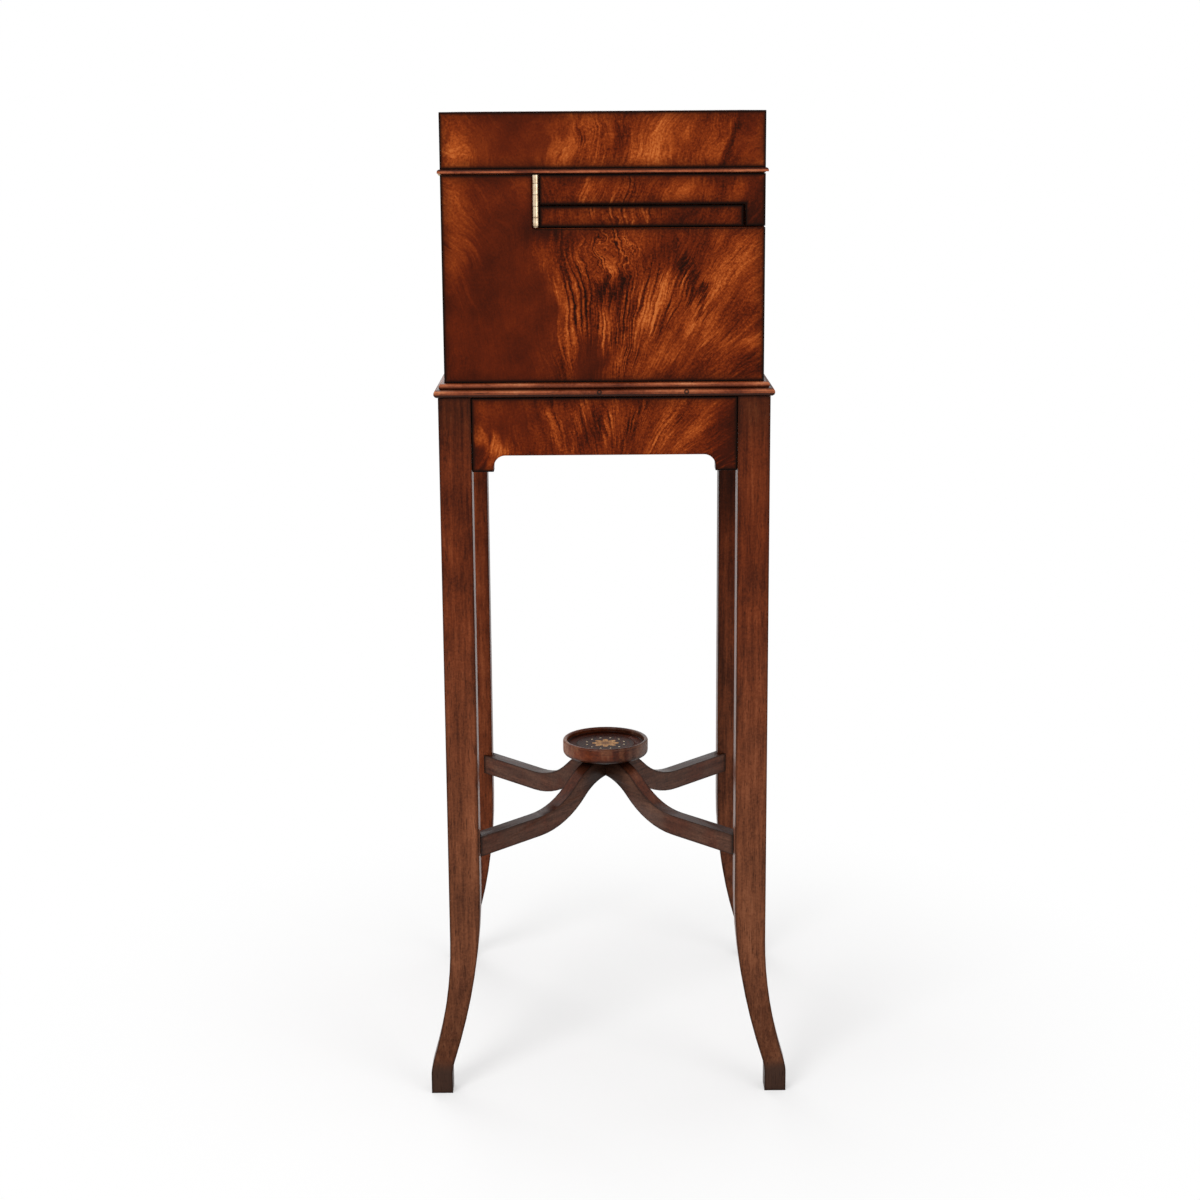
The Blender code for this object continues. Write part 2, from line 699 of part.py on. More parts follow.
def make_lid_hinge(side, x, axis):
    """Butt hinge on the back edge: leaves along -Y, knuckles behind the case."""
    spans = knuckle_spans(LID_HINGE_LENGTH, LID_KNUCKLE_END, 5)
    columns = ((0, -1, 0), (0, 0, -1), (1, 0, 0))
    turn = Matrix(columns).transposed().to_4x4()
    place = Matrix.Translation((x - LID_HINGE_LENGTH / 2, LID_AXIS_Y, LID_AXIS_Z)) @ turn
    near = LID_KNUCKLE_RADIUS + FIT
    reach = (near, near + LID_LEAF_WIDTH)
    face = FIT / 2
    back = FIT / 2 + LID_LEAF_THICKNESS
    bore = LID_PIN_RADIUS + PIN_CLEARANCE
    whole = (0, LID_HINGE_LENGTH)
    leaves = (
        (f"lid_hinge_{side}_case_leaf", spans[0::2], (face, back), None),
        (f"lid_hinge_{side}_lid_leaf", spans[1::2], (-back, -face), axis),
    )
    for name, own, thickness, parent in leaves:
        leaf, cutters = leaf_part(name, own, whole, reach, thickness, LID_KNUCKLE_RADIUS, bore, parent)
        set_place(leaf, cutters, place)
    pin = cylinders_mesh("lid_pin", LID_PIN_RADIUS, [(0, LID_HINGE_LENGTH)])
    smooth(pin)
    part = add_part(f"lid_hinge_{side}_pin", pin, "pale_metal")
    part.matrix_basis = place


def arm_hinge_heights():
    """Bottom and length of the barrel, which stands on the pin's rounded tip."""
    bottom = ARM_BAY_FLOOR + FIT + ARM_PIN_TIP
    return bottom, ARM_TOP - bottom


def make_arm_hinge(side, upper_axis, lower_axis):
    """Five knuckles on one pin: three carry the case leaf, and one each the two arms."""
    x, y = arm_axis(side)
    bottom, length = arm_hinge_heights()
    spans = knuckle_spans(length, ARM_KNUCKLE_END, 5)
    place = Matrix.Translation((x, y, bottom))
    inward = -side_sign(side)
    near = ARM_KNUCKLE_RADIUS + FIT
    reach = (inward * near, inward * ARM_LEAF_WIDTH)
    outer = ARM_KNUCKLE_RADIUS
    inner = ARM_KNUCKLE_RADIUS - ARM_LEAF_THICKNESS
    bore = ARM_PIN_RADIUS + PIN_CLEARANCE
    lower_plate = (0, LOWER_ARM_TOP - bottom - FIT)
    upper_plate = (LOWER_ARM_TOP + ARM_GAP - bottom + FIT, length)
    leaves = (
        (f"arm_hinge_{side}_case_leaf", spans[0::2], (0, length), (inner, outer), None),
        (f"arm_hinge_{side}_upper_leaf", spans[3:4], upper_plate, (-outer, -inner), upper_axis),
        (f"arm_hinge_{side}_lower_leaf", spans[1:2], lower_plate, (-outer, -inner), lower_axis),
    )
    for name, own, plate, thickness, parent in leaves:
        leaf, cutters = leaf_part(name, own, plate, reach, thickness, ARM_KNUCKLE_RADIUS, bore, parent)
        set_place(leaf, cutters, place)
    flat = (ARM_KNUCKLE_RADIUS - ARM_PIN_TIP, -KNUCKLE_GAP)
    profile = [(0, length), (ARM_PIN_RADIUS, length), (ARM_PIN_RADIUS, -KNUCKLE_GAP)]
    profile += arc(*flat, ARM_PIN_TIP - KNUCKLE_GAP, 0, -90, EDGE_STEPS)
    profile += [(0, -ARM_PIN_TIP)]
    turned_part(f"arm_hinge_{side}_pin", profile, ROUND_STEPS, "pale_metal", (x, y, bottom))


# Swing arms


def make_upper_arm(side, axis):
    """L-shaped arm: a rail along the top of the bay, and a drop at its front end."""
    hinge_end = ARM_AXIS_Y - ARM_HINGE_SPACE
    front = -BODY_DEPTH / 2
    rail_low = ARM_TOP - UPPER_ARM_RAIL
    drop = front + UPPER_ARM_DROP
    outline = [
        (hinge_end, ARM_TOP),
        (front, ARM_TOP),
        (front, ARM_BOTTOM),
        (drop, ARM_BOTTOM),
        (drop, rail_low),
        (hinge_end, rail_low),
    ]
    make_arm("upper_arm_" + side, side, outline, axis)


def make_lower_arm(side, axis):
    """Straight arm nested under the upper one, short of its drop."""
    hinge_end = ARM_AXIS_Y - ARM_HINGE_SPACE
    tip = -BODY_DEPTH / 2 + UPPER_ARM_DROP + ARM_END_GAP
    outline = [(hinge_end, LOWER_ARM_TOP), (tip, LOWER_ARM_TOP), (tip, ARM_BOTTOM), (hinge_end, ARM_BOTTOM)]
    make_arm("lower_arm_" + side, side, outline, axis)


def make_arm(name, side, outline, axis):
    """Arm cut to an outline of (depth, height) points, flush with the side of the case."""
    mesh = outline_mesh(name, outline, ARM_THICKNESS)
    turn = Matrix.Rotation(math.radians(90), 4, "Z") @ Matrix.Rotation(math.radians(90), 4, "X")
    mesh.transform(turn)
    middle = side_sign(side) * (BODY_WIDTH - ARM_THICKNESS) / 2
    mesh.transform(Matrix.Translation((middle, 0, 0)))
    soften(add_part(name, mesh, "flame_mahogany", axis), ARM_EDGE)


def build():
    make_legs()
    for side in SIDES:
        make_apron(side)
        make_base_moulding(side)
    make_stretcher()
    make_dish()
    make_case()
    make_dividers()
    lid_axis = add_axis("lid_axis", (0, LID_AXIS_Y, LID_AXIS_Z))
    make_lid(lid_axis)
    make_mirror(lid_axis)
    for side, x in lid_hinge_places().items():
        make_lid_hinge(side, x, lid_axis)
    for side in ("left", "right"):
        place = (*arm_axis(side), ARM_BAY_FLOOR)
        upper_axis = add_axis(f"upper_arm_{side}_axis", place)
        lower_axis = add_axis(f"lower_arm_{side}_axis", place)
        make_upper_arm(side, upper_axis)
        make_lower_arm(side, lower_axis)
        make_arm_hinge(side, upper_axis, lower_axis)


build()
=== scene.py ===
"""Looks of a dressing box on a stand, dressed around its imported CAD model.

Flame mahogany veneer covers the lid, case, swing arms and aprons; the legs, stretcher and
mouldings are straight-grained mahogany. Everything is in metres, in the frame of the CAD.
"""

import functools
import json
import math

import bmesh
import bpy
from mathutils import Matrix, Vector

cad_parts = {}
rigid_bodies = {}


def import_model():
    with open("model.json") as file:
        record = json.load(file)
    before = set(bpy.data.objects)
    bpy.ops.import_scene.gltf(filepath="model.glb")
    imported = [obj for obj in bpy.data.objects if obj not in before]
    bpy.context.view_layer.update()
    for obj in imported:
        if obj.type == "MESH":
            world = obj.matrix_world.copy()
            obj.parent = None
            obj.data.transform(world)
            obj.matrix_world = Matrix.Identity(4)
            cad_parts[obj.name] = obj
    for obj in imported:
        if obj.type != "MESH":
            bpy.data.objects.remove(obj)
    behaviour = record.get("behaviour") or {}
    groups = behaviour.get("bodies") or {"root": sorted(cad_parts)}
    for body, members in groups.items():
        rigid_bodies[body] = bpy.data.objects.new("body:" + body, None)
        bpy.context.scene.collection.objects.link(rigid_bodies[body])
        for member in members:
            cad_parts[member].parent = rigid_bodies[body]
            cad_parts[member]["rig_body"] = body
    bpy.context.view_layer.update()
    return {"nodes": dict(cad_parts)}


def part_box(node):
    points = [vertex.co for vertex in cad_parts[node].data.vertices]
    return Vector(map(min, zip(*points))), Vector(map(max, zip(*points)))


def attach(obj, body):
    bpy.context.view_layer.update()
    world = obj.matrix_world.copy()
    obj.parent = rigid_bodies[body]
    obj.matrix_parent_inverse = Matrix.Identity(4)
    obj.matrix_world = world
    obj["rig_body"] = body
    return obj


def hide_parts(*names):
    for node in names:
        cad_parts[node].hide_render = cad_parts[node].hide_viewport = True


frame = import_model()
NODES = frame["nodes"]
SIDES = ("front", "right", "back", "left")

# Levels and faces, read from the frame
HALF_X = -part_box("case_left")[0].x
HALF_Y = -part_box("case_front")[0].y
CASE_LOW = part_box("case_left")[0].z
CASE_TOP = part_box("case_left")[1].z
MOULD_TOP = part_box("base_moulding_left")[1].z
BEAD_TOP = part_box("lid_bead_left")[1].z
LID_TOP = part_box("lid_left")[1].z
ARM_LOW, ARM_HIGH = (corner.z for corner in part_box("upper_arm_left"))
ARM_FRONT, ARM_BACK = (corner.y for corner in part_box("upper_arm_left"))
LOWER_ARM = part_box("lower_arm_left")
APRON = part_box("apron_left")
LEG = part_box("leg_front_left")
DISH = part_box("stretcher_dish")
# Width of the dish's rim
DISH_RIM = 0.0042
# Gaps round the lower swing arm, over it and at its end
ARM_GAP = 0.0011
ARM_END_GAP = 0.0018

# How far apart the mitred ends of two strips may lie and still be one corner
MITRE_REACH = 0.0006
WELD = 0.00001
FLAT_ANGLE = math.radians(0.5)
SHARP_ANGLE = math.radians(35)


def srgb(red, green, blue):
    """A colour written as 0 to 255, as the linear values that shaders use."""
    shares = [value / 255 for value in (red, green, blue)]
    linear = [s / 12.92 if s <= 0.04045 else ((s + 0.055) / 1.055) ** 2.4 for s in shares]
    return (*linear, 1.0)


# Finishes

# Cosines of the lean of a rounded normal where an edge starts and where it is full
ARRIS_BEND = (0.98, 0.70)
ARRIS_SAMPLES = 6


class Finish:
    """A material whose nodes are added one by one in front of its Principled shader."""

    def __init__(self, name, **constants):
        self.material = bpy.data.materials.new(name)
        self.material.use_nodes = True
        self.tree = self.material.node_tree
        self.shader = self.tree.nodes["Principled BSDF"]
        for socket, value in constants.items():
            self.shader.inputs[socket.replace("_", " ")].default_value = value

    def add(self, kind, values=None, **settings):
        node = self.tree.nodes.new("ShaderNode" + kind)
        for setting, value in settings.items():
            setattr(node, setting, value)
        for socket, value in (values or {}).items():
            self.feed(node.inputs[socket], value)
        return node

    def feed(self, socket, value):
        if isinstance(value, bpy.types.NodeSocket):
            self.tree.links.new(value, socket)
        else:
            socket.default_value = value

    def math(self, operation, first, second=0.0, clamp=False):
        values = {0: first, 1: second}
        return self.add("Math", values, operation=operation, use_clamp=clamp).outputs[0]

    def times(self, first, second):
        return self.math("MULTIPLY", first, second)

    def minus(self, first, second):
        return self.math("SUBTRACT", first, second)

    def absolute(self, value):
        return self.math("ABSOLUTE", value)

    def total(self, *values):
        result = values[0]
        for value in values[1:]:
            result = self.math("ADD", result, value)
        return result

    def scaled(self, value, factor, offset=0.0):
        values = {0: value, 1: factor, 2: offset}
        return self.add("Math", values, operation="MULTIPLY_ADD").outputs[0]

    def fade(self, value, start, end, low=0.0, high=1.0):
        """Smooth step of a value, from low at its start to high at its end."""
        values = {"Value": value, "From Min": start, "From Max": end, "To Min": low, "To Max": high}
        return self.add("MapRange", values, interpolation_type="SMOOTHSTEP").outputs[0]

    def place(self, x, y, z=0.0):
        return self.add("CombineXYZ", {"X": x, "Y": y, "Z": z}).outputs[0]

    def noise(self, place, scale=1.0, detail=3.0, rough=0.55):
        values = {"Vector": place, "Scale": scale, "Detail": detail, "Roughness": rough}
        return self.add("TexNoise", values).outputs[0]

    def object_axes(self, output):
        coordinates = self.add("TexCoord")
        split = self.add("SeparateXYZ", {"Vector": coordinates.outputs[output]})
        return split.outputs["X"], split.outputs["Y"], split.outputs["Z"]

    def object_place(self):
        return self.object_axes("Object")

    def object_normal(self):
        return self.object_axes("Normal")

    def arris(self, radius):
        """Nearly one on the edges of a piece, fading to nought within that distance of them."""
        rounded = self.add("Bevel", {"Radius": radius}, samples=ARRIS_SAMPLES)
        face = self.add("NewGeometry")
        normals = {0: rounded.outputs["Normal"], 1: face.outputs["Normal"]}
        bend = self.add("VectorMath", normals, operation="DOT_PRODUCT").outputs["Value"]
        return self.fade(bend, *ARRIS_BEND)

    def distance(self, x, y):
        return self.add("VectorMath", {0: self.place(x, y)}, operation="LENGTH").outputs["Value"]

    def centred(self, value, swing):
        """A noise value turned into a swing to both sides of nought."""
        return self.scaled(value, swing, -swing / 2)

    def ramp(self, value, stops):
        node = self.add("ValToRGB", {"Fac": value})
        elements = node.color_ramp.elements
        while len(elements) < len(stops):
            elements.new(1.0)
        for element, (position, colour) in zip(elements, stops):
            element.position = position
            element.color = srgb(*colour)
        return node.outputs["Color"]

    def mix(self, factor, first, second, blend="MIX"):
        node = self.add("Mix", data_type="RGBA", blend_type=blend)
        self.feed(node.inputs["Factor"], factor)
        self.feed(node.inputs[6], first)
        self.feed(node.inputs[7], second)
        return node.outputs[2]

    def shade(self, colour, value, fade):
        """A colour turned to the dark of the glaze where a value fades in, for glaze and for painted shade.
        """
        return self.mix(self.fade(value, *fade), colour, GLAZE_AND_SHADE)

    def colour(self, value):
        self.feed(self.shader.inputs["Base Color"], value)

    def roughness(self, value):
        self.feed(self.shader.inputs["Roughness"], value)

    def relief(self, height, strength, distance):
        values = {"Strength": strength, "Distance": distance, "Height": height}
        self.feed(self.shader.inputs["Normal"], self.add("Bump", values).outputs["Normal"])


# Flame veneer

# Low, so that the white studio leaves no veil on the dark lacquer
VENEER_GLOSS = 0.04
SOLID_GLOSS = 0.06
TRIM_GLOSS = 0.14
RAIL_GLOSS = 0.10
INLAY_GLOSS = 0.02
DISH_GLOSS = 0.16

FLAME_COLOURS = ((26, 8, 3), (56, 16, 4), (88, 28, 6), (119, 46, 12), (152, 69, 24), (180, 96, 43))
FLAME_STOPS = [(i / 5, colour) for i, colour in enumerate(FLAME_COLOURS)]
QUIET_COLOUR = srgb(74, 25, 11)
# Dark of the glaze on edges and pores, also the colour of painted shade in hollows and under parts
GLAZE_AND_SHADE = srgb(20, 8, 4)
GLAZE_REACH = 0.0042
# On legs and dish it reaches further in
WIDE_GLAZE_REACH = 0.0072
# A near-black line along the outline of a panel, painted shadow where it runs along a gap, on this much of
# its edge
GAP_SHADOW = srgb(7, 3, 2)
GAP_SHADOW_REACH = (0.0006, 0.0015)
# Shading along the outline of a veneered panel: a ragged broad band and a narrow one
RAGGED_GLAZE = (0.006, 0.019, 0.45, 0.0)
NARROW_GLAZE = (0.0010, 0.0040, 0.85, 0.0)


def panel_edge(f, u, v, panels):
    """Distance in from the outline of a panel made of overlapping rectangles."""
    inside = None
    for left, right, low, high in panels:
        across = f.math("MINIMUM", f.minus(u, left), f.minus(right, u))
        along = f.math("MINIMUM", f.minus(v, low), f.minus(high, v))
        near = f.math("MINIMUM", across, along)
        inside = near if inside is None else f.math("MAXIMUM", inside, near)
    return inside


# A patch is nought and full at these distances from its middle, in half widths
PATCH_FADE = (1.6, 0.3)


def flame_patches(f, u, v, patches):
    """Sums of how light and how figured the given patches make each point."""
    light = 0.0
    figure = 0.0
    for patch_u, patch_v, wide, tall, slant, gain, more in patches:
        up = f.minus(v, patch_v)
        side = f.minus(f.minus(u, patch_u), f.scaled(up, slant))
        far = f.distance(f.math("DIVIDE", side, wide), f.math("DIVIDE", up, tall))
        share = f.fade(far, *PATCH_FADE)
        light = f.scaled(share, gain, light)
        figure = f.scaled(share, more, figure)
    return light, figure


def face_axes(f, axes):
    """Places across and up a face, each along a named axis."""
    places = dict(zip("xyz", f.object_place()))
    return [f.times(places[axis[-1]], -1.0 if axis[0] == "-" else 1.0) for axis in axes]


# Stripes of the plume in cycles a radian, and how far the tongues of the figure run along the grain
PLUME_STRIPES = 36.0
TONGUE = 0.075
# Up to this height over the root the plume stands upright on the side that doesn't fan out
STEM_RISE = 0.140
# The curls lie this far up the stem from the root, and reach this far round there
CURL_RISE = 0.198
CURL_REACH = (0.042, 0.008)
# How figured a veneer is away from its patches, and how light
BASE_FIGURE = 0.8
BASE_LIGHT = 0.46
# Noises over a face, from wander to grit: cycles a metre, detail and roughness
FACE_NOISES = ((60, 3, 0.55), (9, 2, 0.5), (30, 3, 0.55), (440, 2, 0.7))
# Cycles a metre of the slanted haze, along it and across it
HAZE_CYCLES = (6, 21)
# Layers of the grain: cycles a radian across it, cycles a metre along it, detail and shift
FLAME_GRAIN = {
    "flicker": (46, 8, 2, 2),
    "broad": (8, 11, 3, 0),
    "streak": (46, 14, 3, 0),
    "dash": (150, 75, 2, 0),
    "hair": (105, 11, 0, 4),
    "pores": (520, 170, 1, 0),
    "swing": (13, 9, 1, 3),
    "strong": (22, 17, 1, 5),
    "hair_place": (26, 20, 1, 8),
}
GRAIN_ROUGHNESS = 0.6
# How far each layer swings the level of the colour, and how far each kind of line shifts it
FLAME_SWING = {"broad": 0.80, "streak": 0.48, "cloud": 0.44, "haze": 0.40, "dash": 0.60, "grit": 1.00}
BRIGHT_LINE = 0.20
DARK_LINE = -0.32
HAIR_LINE = 0.14
# Pores show as dark specks between these levels of their noise, with this share at most
FLAME_PORES = (0.60, 0.74, 0.0, 0.4)


def flame(name, axes, root, panels, patches, tone=0.0, seed=0.0, book=1.0, spread=1.0):
    """Crotch veneer: streaks that fan out from a root point below the panel.

    axes names the axes across and up the face, root and panels are (u, v) places on it, and the
    patches are (u, v, half width, half height, slant, lightness, figure). book is -1 on a leaf
    that is turned over, and spread under 1 makes up for a root close to the panel.
    """
    f = Finish(name, Specular_IOR_Level=VENEER_GLOSS)
    u, v = face_axes(f, axes)
    face = f.place(u, v, seed)
    wander, sway, cloud, grit = [f.noise(face, *values) for values in FACE_NOISES]
    turned = f.scaled(u, book)
    slant_along = f.scaled(f.total(v, turned), HAZE_CYCLES[0])
    slant_across = f.scaled(f.minus(v, turned), HAZE_CYCLES[1])
    haze = f.noise(f.place(slant_along, slant_across, seed), 1, 3, 0.5)

    du = f.minus(u, root[0])
    dv = f.minus(v, root[1])
    reach = f.distance(du, dv)
    curl = f.fade(f.distance(du, f.minus(dv, CURL_RISE)), *CURL_REACH, 0.03, 0.20)
    curl = f.times(f.centred(wander, 1.0), curl)
    upright = f.fade(f.scaled(du, book), 0.025, -0.012, 0.0, STEM_RISE)
    rise = f.add("Math", {0: dv, 1: upright, 2: STEM_RISE / 2}, operation="SMOOTH_MAX").outputs[0]
    angle = f.total(f.math("ARCTAN2", du, rise), f.centred(sway, 0.30), curl)
    lane = f.times(angle, spread)

    def along_grain(layer):
        tightness, stretch, detail, shift = FLAME_GRAIN[layer]
        place = f.place(f.times(lane, tightness), f.times(reach, stretch), seed + shift)
        return f.noise(place, 1, detail, GRAIN_ROUGHNESS)

    flicker = f.centred(along_grain("flicker"), TONGUE)
    loose = f.centred(wander, 0.016)
    patch_u = f.total(u, f.times(f.math("SINE", angle), flicker), loose)
    patch_v = f.total(v, f.times(f.math("COSINE", angle), flicker), loose)
    light, plume = flame_patches(f, patch_u, patch_v, patches)
    amount = f.math("MAXIMUM", f.total(plume, BASE_FIGURE), 0.2)
    fine = f.math("MINIMUM", f.scaled(amount, 0.75, 0.10), 1.0)

    layers = ("broad", "streak", "dash", "hair", "pores", "swing")
    broad, streak, dash, hair, pores, swing = map(along_grain, layers)
    turns = f.scaled(lane, PLUME_STRIPES * 2 * math.pi, f.scaled(swing, 18.0))
    stripe = f.math("SINE", turns)

    strong = f.fade(along_grain("strong"), 0.36, 0.58)
    strong = f.times(strong, f.fade(plume, 0.08, 0.7))
    dark_line = f.times(f.fade(stripe, 0.40, 0.98), strong)
    bright_line = f.times(f.fade(stripe, 0.0, -0.85), strong)
    ridge = f.absolute(f.scaled(hair, 2.0, -1.0))
    hair_place = f.fade(along_grain("hair_place"), 0.44, 0.62)
    hair_line = f.times(f.times(f.fade(ridge, 0.20, 0.03), hair_place), fine)

    bands = f.total(f.centred(broad, FLAME_SWING["broad"]), f.centred(streak, FLAME_SWING["streak"]))
    soft = f.total(f.centred(cloud, FLAME_SWING["cloud"]), f.centred(haze, FLAME_SWING["haze"]))
    level = f.total(f.times(bands, amount), light, soft)
    level = f.total(level, f.scaled(bright_line, BRIGHT_LINE), f.scaled(dark_line, DARK_LINE))
    level = f.total(level, f.scaled(hair_line, HAIR_LINE))
    texture = f.total(f.centred(dash, FLAME_SWING["dash"]), f.centred(grit, FLAME_SWING["grit"]))
    level = f.total(level, f.times(texture, fine), BASE_LIGHT + tone)
    colour = f.ramp(level, FLAME_STOPS)
    colour = f.mix(f.fade(amount, 0.9, 0.3, 0.0, 0.25), colour, QUIET_COLOUR)
    colour = f.shade(colour, pores, FLAME_PORES)

    inside = panel_edge(f, u, v, panels)
    ragged = f.total(inside, f.scaled(cloud, 0.012))
    colour = f.shade(colour, ragged, RAGGED_GLAZE)
    colour = f.shade(colour, inside, NARROW_GLAZE)
    colour = f.mix(f.times(f.arris(GLAZE_REACH), 0.85), colour, GLAZE_AND_SHADE)
    # Near-black line along the panel's outline: painted shadow where it runs along a gap
    f.colour(f.mix(f.fade(inside, *GAP_SHADOW_REACH, 0.95, 0.0), colour, GAP_SHADOW))
    f.roughness(f.total(f.scaled(pores, 0.16), f.scaled(cloud, 0.10), 0.19))
    f.relief(f.total(f.scaled(pores, -0.6), f.scaled(dash, 0.5), f.scaled(cloud, 1.5)), 0.12, 0.0006)
    return f.material


# Straight-grained mahogany

STOP_PLACES = (0.00, 0.30, 0.55, 0.78, 1.00)


def stops(*colours):
    return tuple(zip(STOP_PLACES, colours))


PLAIN_STOPS = stops((26, 8, 3), (64, 23, 8), (98, 41, 17), (126, 62, 32), (160, 94, 56))
WORN_STOPS = stops((32, 16, 9), (70, 38, 24), (106, 61, 39), (130, 80, 54), (160, 106, 78))
# Greyish browns of a painted sheen, on the rails' sides and the dish's wall
SHEEN_GREY_STOPS = stops((24, 14, 10), (50, 32, 24), (80, 53, 41), (108, 75, 58), (144, 108, 86))
# Light browns of the painted highlights on the crests of beads and mouldings
CREST_HIGHLIGHT_STOPS = stops((54, 20, 8), (104, 46, 24), (146, 76, 46), (174, 102, 66), (204, 140, 98))
FOOT_COLOUR = srgb(50, 37, 31)
# Layers of straight grain: cycles a metre across it and along it, and detail
PLAIN_GRAIN = {"ribbon": (70, 5, 3), "streak": (300, 14, 3), "pores": (900, 90, 1)}
PLAIN_LIGHT = 0.47
PLAIN_PORES = (0.58, 0.72, 0.0, 0.5)


def grain_axes(f, direction):
    """Places along a horizontal grain of that heading in degrees, or along Z, and across it."""
    x, y, z = f.object_place()
    if direction == "up":
        return z, x, y
    cosine = math.cos(math.radians(direction))
    sine = math.sin(math.radians(direction))
    along = f.total(f.times(x, cosine), f.times(y, sine))
    beside = f.total(f.times(x, -sine), f.times(y, cosine))
    return along, beside, z


def plain(
    name, direction, tone=0.0, seed=0.0, edges=0.85, reach=GLAZE_REACH, gloss=SOLID_GLOSS, extra=None,
    satin=0.0, lively=1.0
):
    """Mahogany with ribbons, pores and glazed edges, its grain running one way.

    extra, where given, takes the finish, the colour, its level, the place along the grain and a
    cloudy noise, and gives back the colour with marks of use.
    """
    f = Finish(name, Specular_IOR_Level=gloss)
    along, beside, other = grain_axes(f, direction)
    bend = f.noise(f.place(along, beside, seed), 9, 2)
    beside = f.scaled(bend, 0.012, beside)

    def along_grain(layer):
        tightness, stretch, detail = PLAIN_GRAIN[layer]
        lengthwise = f.times(along, stretch)
        place = f.place(lengthwise, f.times(beside, tightness), f.scaled(other, tightness, seed))
        return f.noise(place, 1, detail, GRAIN_ROUGHNESS)

    ribbon, streak, pores = map(along_grain, PLAIN_GRAIN)
    cloud = f.noise(f.place(along, beside, other), 26, 3)
    speck = f.noise(f.place(along, beside, other), 420, 2, 0.7)
    level = f.total(f.centred(ribbon, 0.5), f.centred(streak, 0.5), f.centred(cloud, 0.4))
    level = f.total(f.scaled(level, lively), f.centred(speck, 0.4), PLAIN_LIGHT + tone)
    colour = f.ramp(level, PLAIN_STOPS)
    if extra is not None:
        colour = extra(f, colour, level, along, cloud)
    colour = f.shade(colour, pores, PLAIN_PORES)
    colour = f.mix(f.times(f.arris(reach), edges), colour, GLAZE_AND_SHADE)
    f.colour(colour)
    f.roughness(f.total(f.scaled(pores, 0.16), f.scaled(cloud, 0.12), 0.20 + satin))
    f.relief(f.total(f.scaled(pores, -0.7), f.scaled(streak, 0.4)), 0.14, 0.0005)
    return f.material


# Heights on a leg between which each mark comes in, and its share at the first and at the last
LEG_WEAR = (0.62, 0.20)
SHIN_SHADE = (0.140, 0.060, 0.0, 0.45)
# Painted shadow of the aprons over the upper part of a leg
APRON_SHADE = (0.480, 0.570)
FOOT_GREYING = (0.045, 0.030, 0.0, 0.80)
# Painted shade at the top of a leg, under the moulding
TOP_SHADE = (0.640, 0.690, 0.0, 0.55)


def leg_marks(f, colour, level, height, cloud, worn_share, shade):
    """Browner and paler towards the floor, dark shins, greyer feet, the painted shadow of the aprons, and
    painted shade at the top under the moulding.
    """
    height = f.scaled(cloud, 0.10, height)
    worn = f.ramp(f.total(level, 0.07), WORN_STOPS)
    colour = f.mix(f.fade(height, *LEG_WEAR, 0.0, worn_share), colour, worn)
    height = f.scaled(cloud, -0.085, height)
    colour = f.shade(colour, height, SHIN_SHADE)
    colour = f.shade(colour, height, (*APRON_SHADE, 0.0, shade))
    colour = f.mix(f.fade(height, *FOOT_GREYING), colour, FOOT_COLOUR)
    return f.shade(colour, height, TOP_SHADE)


# Rails: upward slopes of sides greyed by a painted sheen and of tops darkened as painted shade, reach of
# the dark edges, and distances from the crossing for the dark ends at the legs and the painted shade under
# the dish
RAIL_SIDE_SHEEN = (0.60, 0.25, 0.45, 0.95)
RAIL_TOP_SHADE = (0.88, 0.97, 0.0, 0.65)
RAIL_ARRIS = 0.0070
RAIL_ENDS = (0.190, 0.204, 0.0, 0.60)
RAIL_DISH_SHADE = (0.054, 0.030, 0.0, 0.70)


def rail_marks(f, colour, level, along, cloud):
    """Sides greyed by a painted sheen, level tops darkened as painted shade, dark edges, dark ends at the
    legs, and painted shade under the dish.
    """
    z = f.object_normal()[2]
    sheen_share = f.times(f.fade(z, *RAIL_SIDE_SHEEN), f.fade(cloud, 0.30, 0.55, 0.6, 1.0))
    colour = f.mix(sheen_share, colour, f.ramp(level, SHEEN_GREY_STOPS))
    colour = f.shade(colour, z, RAIL_TOP_SHADE)
    colour = f.mix(f.times(f.arris(RAIL_ARRIS), 0.70), colour, GLAZE_AND_SHADE)
    far = f.scaled(cloud, 0.010, f.absolute(along))
    colour = f.shade(colour, far, RAIL_ENDS)
    return f.shade(colour, far, RAIL_DISH_SHADE)


# Two nails are set in the lower reed of the moulding; the groove over it lies at its own level
NAIL_PLACES = (-0.0046, 0.077)
NAIL_LEVEL = 0.6968
NAIL_RADIUS = 0.0017
GROOVE_LEVEL = 0.6993
# Distances at which the painted shade in the groove and the nail rings come in, and upward slopes of the
# bead's top, painted dark as shade
GROOVE_SHADE = (0.0012, 0.0002, 0.0, 0.65)
NAIL_SHADE = (0.0011, 0.0004, 0.0, 0.90)
BEAD_SHADE = (0.15, 0.60, 0.0, 0.60)


def highlight_and_shade_marks(f, colour, level, cloud, rise, fall, under):
    """Painted highlights on the crests and painted shade on the undersides, each between two upward slopes
    of the surface.
    """
    z = f.object_normal()[2]
    crest_highlight = f.ramp(f.scaled(cloud, 0.8, f.total(level, -0.34)), CREST_HIGHLIGHT_STOPS)
    colour = f.mix(f.times(f.fade(z, *rise), f.fade(z, *fall)), colour, crest_highlight)
    return f.shade(colour, z, (*under, 0.0, 0.85))


def bead_marks(f, colour, level, along, cloud):
    """A nose lit by a painted highlight, under a rounded top darkened as painted shade."""
    colour = highlight_and_shade_marks(f, colour, level, cloud, (-0.45, -0.10), (0.40, 0.10), (-0.30, -0.75))
    return f.shade(colour, f.object_normal()[2], BEAD_SHADE)


